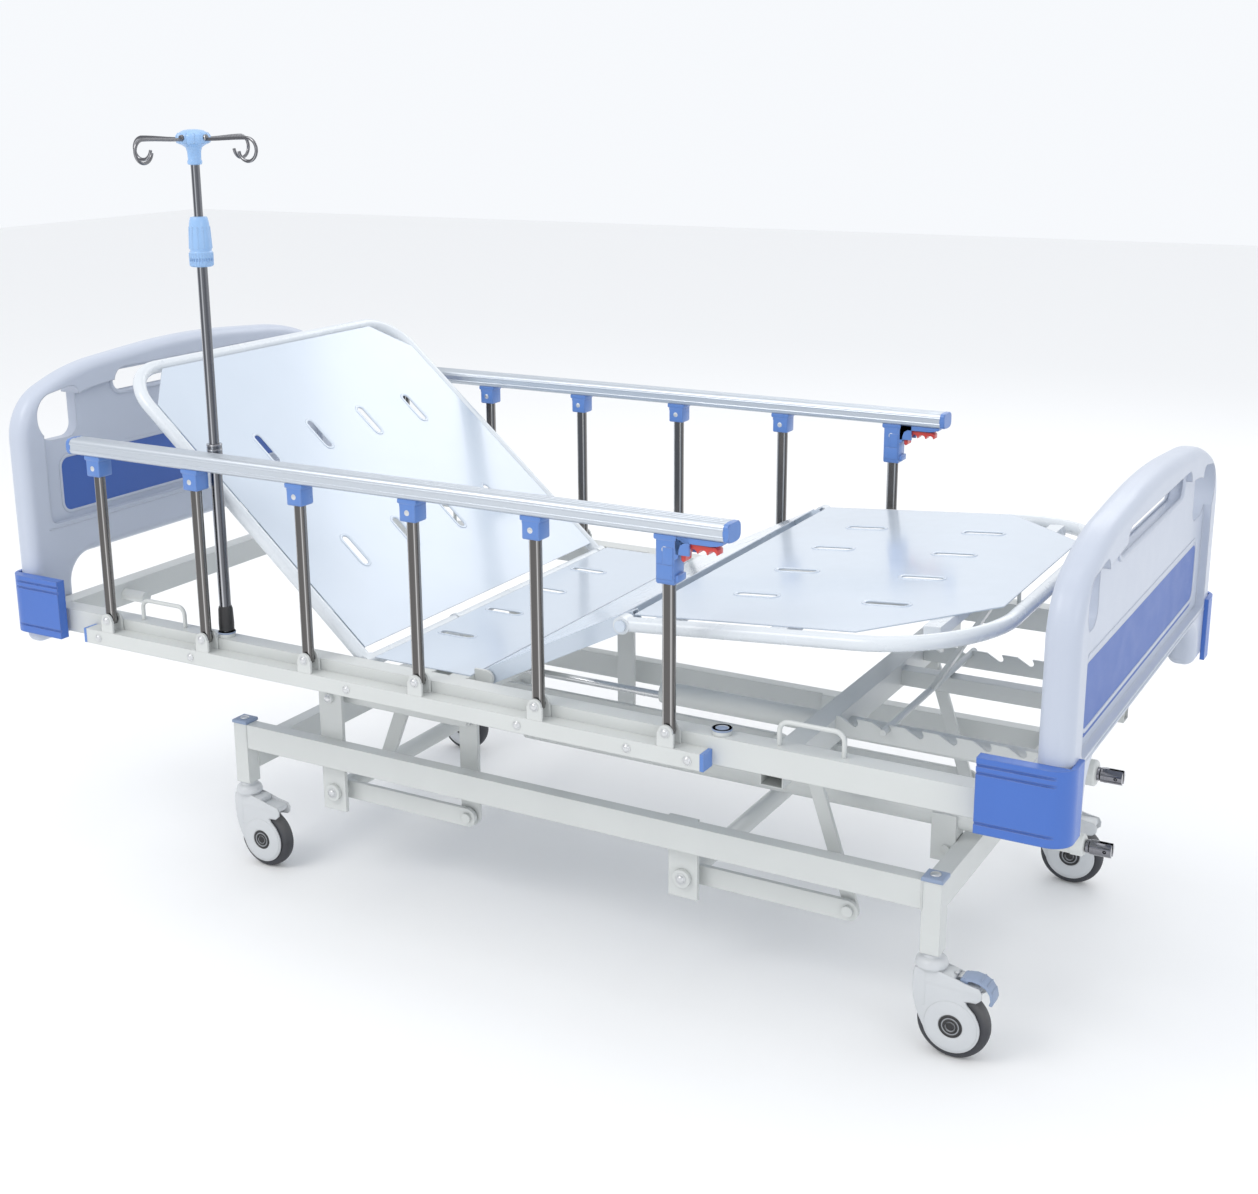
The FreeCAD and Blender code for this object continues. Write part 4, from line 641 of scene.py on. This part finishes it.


# ---------------------------- deck folds: turned-down lips
lips = Mesh()
lips.block((-346 - 372, -406, BACK_Z - 2), (-346 - 26, -404, BACK_Z + 8.5), 0.5)
lips.block((-346 - 372, 404, BACK_Z - 2), (-346 - 26, 406, BACK_Z + 8.5), 0.5)
lips.rotated(BACK_X, BACK_Z, BACK_DEG).done("back_deck_lips", "back", "deck", "deck_paint", 40)


# ---------------------------- bolts and welds
def bolts_y(m, places, r=8, h=5):
    for x, y, z in places:
        s = 1 if y > 0 else -1
        m.lathe((x, y, z), (0, s, 0), bolt_profile(r, h), 24)


PIVOTS = [310.0 - 245 * i for i in range(6)]      # posts, from the foot end
HEAD_SHAFT_X, FOOT_SHAFT_X, SHAFT_Z = -503.0, 260.0, 188.0
PIN_Z, JOINT_Z = 521.0, 824.0      # a post's lower and upper pins
RAIL_Y, RAIL_UNDER, RAIL_MID, RAIL_TOP = 491.0, 847.0, 862.0, 877.0
RAIL_X0, RAIL_X1, RAIL_HALF = -966.0, 412.0, 21.0
m = Mesh()
for s in (-1, 1):
    bolts_y(m, [(x, s * 506, 482) for x in (-940, -700, -330, 30, 240, 350)], 6, 3.5)
    bolts_y(m, [(x, s * 505.5, PIN_Z) for x in PIVOTS], 6.5, 4)
    for x in PIVOTS:
        m.lathe((x - 9, s * 499, 497), (0, 0, 1), bolt_profile(3, 2), 16)
m.done("rail_bolts", "bed", "zinc", "zinc", 30)
m = Mesh()
for s in (-1, 1):
    bolts_y(m, [(HEAD_SHAFT_X, s * 351, SHAFT_Z), (FOOT_SHAFT_X, s * 351, SHAFT_Z)], 8, 5)
    bolts_y(m, [(HEAD_SHAFT_X, s * 349, 383)], 7, 4)
    for x in (-LEG_X, LEG_X):
        m.lathe((x, s * LEG_Y, 307), (0, 0, 1), dome(9, 3), 24)
m.done("base_bolts", "base", "zinc", "zinc", 30)


def bead(m, points, r=2.6):
    """Lumpy weld bead through design points."""
    fine = []
    for a, b in zip(points, points[1:]):
        a, b = Vector(a), Vector(b)
        steps = max(2, int((b - a).length / 3.0))
        for k in range(steps):
            fine.append(a.lerp(b, k / steps))
    fine.append(Vector(points[-1]))
    m.sweep([tuple(p) for p in fine], ring(r, 8), up=(0.3, 0.5, 0.8))


w = Mesh()
for s in (-1, 1):
    for x in (-697.5, 697.5):
        bead(w, [(x, s * 343, 250), (x, s * 343, 300), (x, s * 370, 300), (x, s * 370, 250)], 1.8)
    for x in (-530, -476):
        bead(w, [(x, s * 343, 252), (x, s * 343, 298)], 2.2)
    for x in (232, 288):
        bead(w, [(x, s * 343, 252), (x, s * 343, 298)], 2.2)
    bead(w, [(697.5, s * 338, 252), (697.5, s * 338, 298)], 2)
    bead(w, [(-697.5, s * 338, 202), (-697.5, s * 338, 248)], 2)
w.done("base_welds", "base", "weld", "frame_paint", 60)
w = Mesh()
for s in (-1, 1):
    for x in (-1120 + 38, -227, -189, -154, -116, 850):
        bead(w, [(x, s * 437, 473), (x, s * 437, 518)], 2)
    for x in (445, 485):
        bead(w, [(x, s * 437, 471), (x, s * 437, 482)], 2)
    for x in (-228, -188):
        bead(w, [(x, s * 298, 470.5), (x, s * 306, 470.5)], 2)
w.done("frame_welds", "bed", "weld", "frame_paint", 60)


# ---------------------------- hand rails: lengthwise ribs, rivets, joint caps
def rail_ribs(side, body, y):
    """Lengthwise ribs on the sides and top of the hand rail."""
    m = Mesh()
    for dz in (9, 21):
        for t in (-1, 1):
            m.sweep([(RAIL_X0, y + t * RAIL_HALF, RAIL_UNDER + dz),
                     (RAIL_X1, y + t * RAIL_HALF, RAIL_UNDER + dz)],
                     [(-1.6, -0.5), (0, -1.1), (1.6, -0.5), (1.6, 0.5), (0, 1.1), (-1.6, 0.5)], up=(0, 1, 0))
    for dy in (-9, 0, 9):
        m.sweep([(RAIL_X0, y + dy, RAIL_TOP), (RAIL_X1, y + dy, RAIL_TOP)],
                [(-2.2, -0.5), (-1.2, 0.7), (1.2, 0.7), (2.2, -0.5)])
    m.done("rail_ribs_" + side, body, "alu", "rail_alu", 25)


def rail_rivets(side, body, y):
    """Rivet heads on both sides of every joint."""
    m = Mesh()
    for x in PIVOTS:
        for t in (-1, 1):
            m.lathe((x, y + t * 15, JOINT_Z), (0, t, 0), [(6, -0.3), (6, 1.0), (4.8, 1.8), (1.5, 2.1)], 24)
    m.done("rail_rivets_" + side, body, "zinc", "zinc", 30)


def rail_end_caps(side, body, y):
    """Squarish rounded plugs in the rail's ends."""
    m = Mesh()
    for x0, d in ((RAIL_X1, 1), (RAIL_X0, -1)):
        prof = []
        for k in range(24):
            a = 2 * math.pi * k / 24
            c, q = math.cos(a), math.sin(a)
            prof.append((21.4 * math.copysign(abs(c) ** 0.6, c), 15.4 * math.copysign(abs(q) ** 0.6, q)))
        m.sweep([(x0 - d, y, RAIL_MID), (x0 + d * 6, y, RAIL_MID), (x0 + d * 9.5, y, RAIL_MID)], prof)
    m.done("rail_end_caps_" + side, body, "joint", "fitting_blue", 40)


def rail_joint_shells(side, body, y):
    """Sleeves round the post tops, the first one long, with the latch arm under the rail."""
    m = Mesh()
    for i, x in enumerate(PIVOTS):
        m.block((x - 20, y - 17.5, 838.5), (x + 20, y + 17.5, 848.5), 3)
        if i:
            m.block((x - 17, y - 16, 832), (x + 17.5, y + 16, 840), 2.5)
        low = 770 if i == 0 else 809
        for t in (-1, 1):
            a, b = sorted((y + t * 15.0, y + t * 16.6))
            m.block((x - 15, a, low), (x + 16.8, b, 840), 1.0)
        m.block((x + 12.8, y - 16.4, low), (x + 17.6, y + 16.4, 840), 1.6)
    x = PIVOTS[0]
    for t in (-1, 1):
        a, b = sorted((y + t * 11.2, y + t * 16.0))
        pts = [(x + 12, 847.2), (x + 101, 847.2), (x + 99, 843), (x + 90, 839.5), (x + 78, 838),
               (x + 34, 838), (x + 27, 834),
               (x + 24, 826), (x + 23, 812), (x + 12, 806)]
        m.plate([[(p, h, q) for p, q in pts] for h in (a, b)])
        a, b = sorted((y + t * 16.4, y + t * 18.2))
        m.block((x - 13, a, 776), (x + 15, b, 800), 0.8)
        m.block((x - 3, a, 800), (x + 15, b, 828), 0.8)
    m.block((x + 17, y - 14, 772), (x + 23, y + 14, 784), 2)
    m.block((x + 30, y - 11.5, 840), (x + 96, y + 11.5, 847.2), 1)
    m.done("rail_joint_shells_" + side, body, "joint", "fitting_blue", 30)


def finger_trigger(side, y):
    """Scalloped red lever under the latch arm."""
    x = PIVOTS[0]
    m = Mesh()
    pts = [(x + 25, 836), (x + 34, 837), (x + 84, 836), (x + 88, 832), (x + 88, 824)]
    for k in range(3):
        c = x + 79 - k * 17
        for d in range(0, 181, 20):
            t = math.radians(d)
            pts.append((c + 7.4 * math.cos(t), 823 + 6.4 * math.sin(t)))
        pts.append((c - 8.5, 822))
    pts += [(x + 33.5, 818), (x + 33, 808), (x + 29, 805), (x + 25, 808)]
    rows = ((0.93, -9.8), (1.0, -8.4), (1.0, 8.4), (0.93, 9.8))
    cx = sum(p for p, q in pts) / len(pts)
    m.plate([[(cx + (p - cx) * (1 - (1 - f) * 0.3), y + h, 826 + (q - 826) * f) for p, q in pts] for f,
             h in rows])
    tr = m.done("finger_trigger_" + side, "latch_" + side, "red", "trigger_red", 35)
    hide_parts("trigger_" + side)


def post_washers(side, y):
    """Washers at both pins of every post."""
    for i, x in enumerate(PIVOTS):
        b = "body_post_%s_%d" % (side, i + 1)
        m = Mesh()
        for t in (-1, 1):
            m.lathe((x, y + t * 8, PIN_Z), (0, t, 0), [(8.5, -0.2), (8.5, 1.0), (6, 1.3)], 24)
            m.lathe((x, y + t * 8, JOINT_Z), (0, t, 0), [(8.5, -0.2), (8.5, 1.0), (6, 1.3)], 24)
        m.done("post_washers_%s_%d" % (side, i + 1), b, "black", "fitting_blue", 30)


for side, s in (("near", -1), ("far", 1)):
    y = s * RAIL_Y
    body = "hand_rail_" + side
    rail_ribs(side, body, y)
    rail_rivets(side, body, y)
    rail_end_caps(side, body, y)
    rail_joint_shells(side, body, y)
    finger_trigger(side, y)
    post_washers(side, y)


# ---------------------------- drip pole
px, py = -650.0, -456.0      # pole axis
HUB_Z, CLAMP_Z = 1436.0, 1212.0


def pole_ferrule():
    """Dark sleeve where the pole enters the bed frame."""
    m = Mesh()
    m.lathe((px, py, 0), (0, 0, 1), [(11.4, 530), (14.2, 531), (14.6, 545), (13.6, 572), (11.6, 578)], 40)
    m.done("pole_ferrule", "pole", "black", "pole_steel", 30)


def pole_collar():
    """Three rings at the joint of the lower tubes."""
    m = Mesh()
    for z in (866.5, 876, 885):
        m.lathe((px, py, z), (0, 0, 1), [(13.8, 0), (14.5, 0.8), (14.5, 3.2), (13.8, 4)], 40)
    m.done("pole_collar_rings", "pole", "chrome", "pole_steel", 30)


def clamp_nut():
    """Ribbed cone over a narrower ribbed ring."""
    m = Mesh()
    profile = [(9.6, 0), (19, 0), (20.5, 1.5), (20.5, 9), (19.3, 10.5), (19.3, 14), (20.8, 15.5),
               (20.8, 25), (19, 27.5), (19.6, 30),
               (20.6, 34), (19.6, 52), (17.6, 76), (16, 84), (14.6, 87), (9, 88), (8.3, 87.6)]
    m.lathe((px, py, CLAMP_Z), (0, 0, 1), profile, 64)
    for k in range(24):
        a = 2 * math.pi * k / 24
        c, sn = math.cos(a), math.sin(a)
        m.sweep([(px + c * 20.2, py + sn * 20.2, 1214), (px + c * 20.5, py + sn * 20.5, 1236)],
                ring(1.2, 6), up=(c, sn, 0))
    for k in range(12):
        a = 2 * math.pi * k / 12
        c, sn = math.cos(a), math.sin(a)
        m.sweep([(px + c * 19.8, py + sn * 19.8, 1244), (px + c * 17.9, py + sn * 17.9, 1282)],
                ring(1.5, 8), up=(c, sn, 0))
    clamp = m.done("clamp_nut", "clamp", "hub", "hub_blue", 32)
    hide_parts("iv_clamp")


def upper_pole():
    """Sliding upper tube."""
    m = Mesh()
    m.lathe((px, py, 0), (0, 0, 1), [(8, 1133), (8, 1395)], 36)
    m.done("upper_pole", "hooks", "pole", "pole_steel", 30)


def hook_hub():
    """Mushroom hub with ribs round its edge."""
    m = Mesh()
    hub_profile = [(8.2, 1389), (12, 1390), (13, 1392), (13, 1396), (11.6, 1398), (12.2, 1412),
                   (14.5, 1419), (20, 1423),
                   (27, 1426), (28.8, 1430), (29, 1437), (27.8, 1441), (24, 1445), (17, 1448.6), (9, 1450),
                   (0.5, 1450.4)]
    m.lathe((px, py, 0), (0, 0, 1), hub_profile, 56)
    for k in range(12):
        a = 2 * math.pi * (k + 0.5) / 12
        c, sn = math.cos(a), math.sin(a)
        m.sweep([(px + c * 27.5, py + sn * 27.5, 1427), (px + c * 29.2, py + sn * 29.2, 1432),
                 (px + c * 28.8, py + sn * 28.8, 1439),
                 (px + c * 25, py + sn * 25, 1444)], ring(1.4, 8), up=(c, sn, 0))
    hub = m.done("hook_hub", "hooks", "hub", "hub_blue", 40)
    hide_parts("iv_hook_head")


def drip_hooks():
    """Four wire arms that end in open loops curling down and back."""
    m = Mesh()
    for k in range(4):
        a = math.pi / 2 * k
        c, sn = math.cos(a), math.sin(a)
        path = [(22, 1433), (60, 1434), (95, 1435.6), (112, 1436)]
        for d in range(0, 262, 9):
            t = math.radians(90 - d)
            path.append((123 + 19.6 * math.cos(t), 1416.4 + 19.6 * math.sin(t)))
        m.sweep([(px + c * r, py + sn * r, z) for r, z in path], ring(3.0, 14), up=(-sn, c, 0))
        m.lathe((px + c * 27, py + sn * 27, HUB_Z), (c, sn, 0), [(5.6, 0), (5.6, 3), (4.4, 5), (3.2, 5.4)],
                24)
    m.done("drip_hooks", "hooks", "wire", "zinc", 40)


def socket_lips():
    """Lips round the four pole sockets."""
    m = Mesh()
    for x, y in ((387, -456), (-650, 456), (387, 456), (-650, -456)):
        m.lathe((x, y, 528), (0, 0, 1), [(11.2, 0), (16.4, 0), (17, -1.5), (16.6, -3)][::-1] + [(11.2, -1)],
                40)
    m.done("socket_lips", "bed", "cap", "cap_grey_blue", 30)


for make in (pole_ferrule, pole_collar, clamp_nut, upper_pole, hook_hub, drip_hooks, socket_lips):
    make()


# ---------------------------- chrome crank ends
for node, body, holder, end, r_out in (("lift_crank_screw", "lift_screw", "base", 896, 17),
                                       ("back_crank_screw", "back_screw", "bed", 898, 20)):
    c = mid(node)
    cy, cz = (c[1] - OY) * 1000, c[2] * 1000
    m = Mesh()
    m.lathe((905, cy, cz), (1, 0, 0), [(7.1, 0), (11, 0.5), (11, 5), (8.5, 6.5), (8.5, 11), (12.4, 12.5),
                                       (12.4, 17), (7.1, 17.5)], 40)
    m.done(body + "_collar", body, "chrome", "zinc", 30)
    m = Mesh()
    m.lathe((end, cy, cz), (1, 0, 0), [(r_out + 0.2, -14), (r_out + 1.4, -13), (r_out + 1.4, 4),
                                       (r_out - 1, 7), (8, 8), (7.6, 6)], 48)
    m.done(body + "_tube_cap", holder, "frame", "frame_paint", 30)
for n in ("lift_crank_screw", "back_crank_screw"):
    NODES[n].data.materials.clear()
    NODES[n].data.materials.append(LOOKS["chrome"])


# ---------------------------- board details
def rounded(y0, y1, z0, z1, r, x, n=8):
    pts = []
    for cy, cz, a0 in ((y1 - r, z1 - r, 0), (y0 + r, z1 - r, 90), (y0 + r, z0 + r, 180),
                       (y1 - r, z0 + r, 270)):
        for k in range(n + 1):
            a = math.radians(a0 + 90 * k / n)
            pts.append((x, cy + r * math.cos(a), cz + r * math.sin(a)))
    return pts


BOARD_HALF, LEDGE_HALF = 12, 26      # half thickness of a board and of its ledge


def board_trim(tag, x, top, ledge):
    m = Mesh()
    for s in (-1, 1):
        face = x + s * BOARD_HALF
        m.sweep(rounded(-385, 385, top - 320, top - 204, 22, face),
                [(-4, -1.2), (-3, 1.2), (0, 2.0), (3, 1.2), (4, -1.2)],
                closed=True, up=(s, 0, 0))
        m.sweep(rounded(-230, 230, top - 99, top - 44, 27, face, 12),
                [(-7, -1.5), (-5, 2.5), (-1, 4.0), (2.5, 2.5), (3, -1.5)],
                closed=True, up=(s, 0, 0))
    m.done(tag + "_panel_rim", "bed", "board", "board_abs", 50)
    m = Mesh()
    for s in (-1, 1):
        face = x + s * LEDGE_HALF
        m.sweep([(face, -440, ledge - 8), (face, 440, ledge - 8)],
                [(-2.6, -1.4), (-1.6, 0.8), (1.6, 0.8), (2.6, -1.4)], up=(s, 0, 0))
    m.done(tag + "_ledge_line", "bed", "board", "board_abs", 50)


board_trim("headboard", -1150.0, 1004.0, 670.0)
board_trim("footboard", 918.0, 914.0, 570.0)


# ---------------------------- floor, light and camera
bpy.ops.object.select_all(action="DESELECT")
bpy.ops.mesh.primitive_plane_add(size=28, location=(0, 0, 0))
floor = bpy.context.object
floor.name = "floor"
me = floor.data
fm = bpy.data.materials.new("floor_pale")
fm.use_nodes = True
fm.node_tree.nodes["Principled BSDF"].inputs["Base Color"].default_value = (0.93, 0.93, 0.93, 1)
fm.node_tree.nodes["Principled BSDF"].inputs["Roughness"].default_value = 0.75
me.materials.append(fm)

world = bpy.data.worlds.new("studio")
bpy.context.scene.world = world
world.use_nodes = True
world.node_tree.nodes["Background"].inputs[0].default_value = (0.95, 0.97, 1.0, 1)
world.node_tree.nodes["Background"].inputs[1].default_value = 0.98
bpy.context.scene.view_settings.view_transform = "Standard"


def area(name, at, aim, size, power, tint=(1, 1, 1)):
    d = bpy.data.lights.new(name, "AREA")
    d.shape = "RECTANGLE"
    d.size, d.size_y = size
    d.energy = power
    d.color = tint
    o = bpy.data.objects.new(name, d)
    o.location = at
    o.rotation_euler = (Vector(aim) - Vector(at)).to_track_quat("-Z", "Y").to_euler()
    bpy.context.scene.collection.objects.link(o)


area("key", (-1.8, -3.4, 4.2), (0, 0, 0.5), (2.6, 2.0), 70, (1.0, 0.98, 0.95))
area("fill", (4.4, -2.2, 2.4), (0, 0, 0.5), (2.4, 2.0), 22, (0.95, 0.97, 1.0))
area("rim", (0.5, 4.0, 3.4), (0, 0, 0.6), (3.4, 1.4), 30)
area("top", (0.0, 0.0, 4.6), (0, 0, 0), (3.2, 2.2), 20)

cam = bpy.data.cameras.new("camera")
camera = bpy.data.objects.new("camera", cam)
bpy.context.scene.collection.objects.link(camera)
bpy.context.scene.camera = camera
AZ, EL, ROLL = math.radians(30.7), math.radians(15.0), math.radians(-0.7)
rear = Vector((math.sin(AZ) * math.cos(EL), -math.cos(AZ) * math.cos(EL), math.sin(EL)))
right = (-rear).cross(Vector((0, 0, 1))).normalized()
upward = right.cross(-rear)
r2 = right * math.cos(ROLL) + upward * math.sin(ROLL)
u2 = upward * math.cos(ROLL) - right * math.sin(ROLL)
rot = Matrix((r2, u2, rear)).transposed().to_4x4()
camera.matrix_world = Matrix.Translation(place(1489.1, -2748.4, 1521.7)) @ rot
SENSOR, FOCAL_PX = 36, 1701.3
PHOTO_W, PHOTO_H = 1258, 1194
CENTRE_X, CENTRE_Y = 579.8, 538.0      # picture point the camera looks at
cam.sensor_width = SENSOR
cam.sensor_fit = "HORIZONTAL"
cam.lens = SENSOR * FOCAL_PX / PHOTO_W
cam.shift_x = (PHOTO_W / 2 - CENTRE_X) / PHOTO_W
cam.shift_y = (CENTRE_Y - PHOTO_H / 2) / PHOTO_W
cam.clip_end = 60
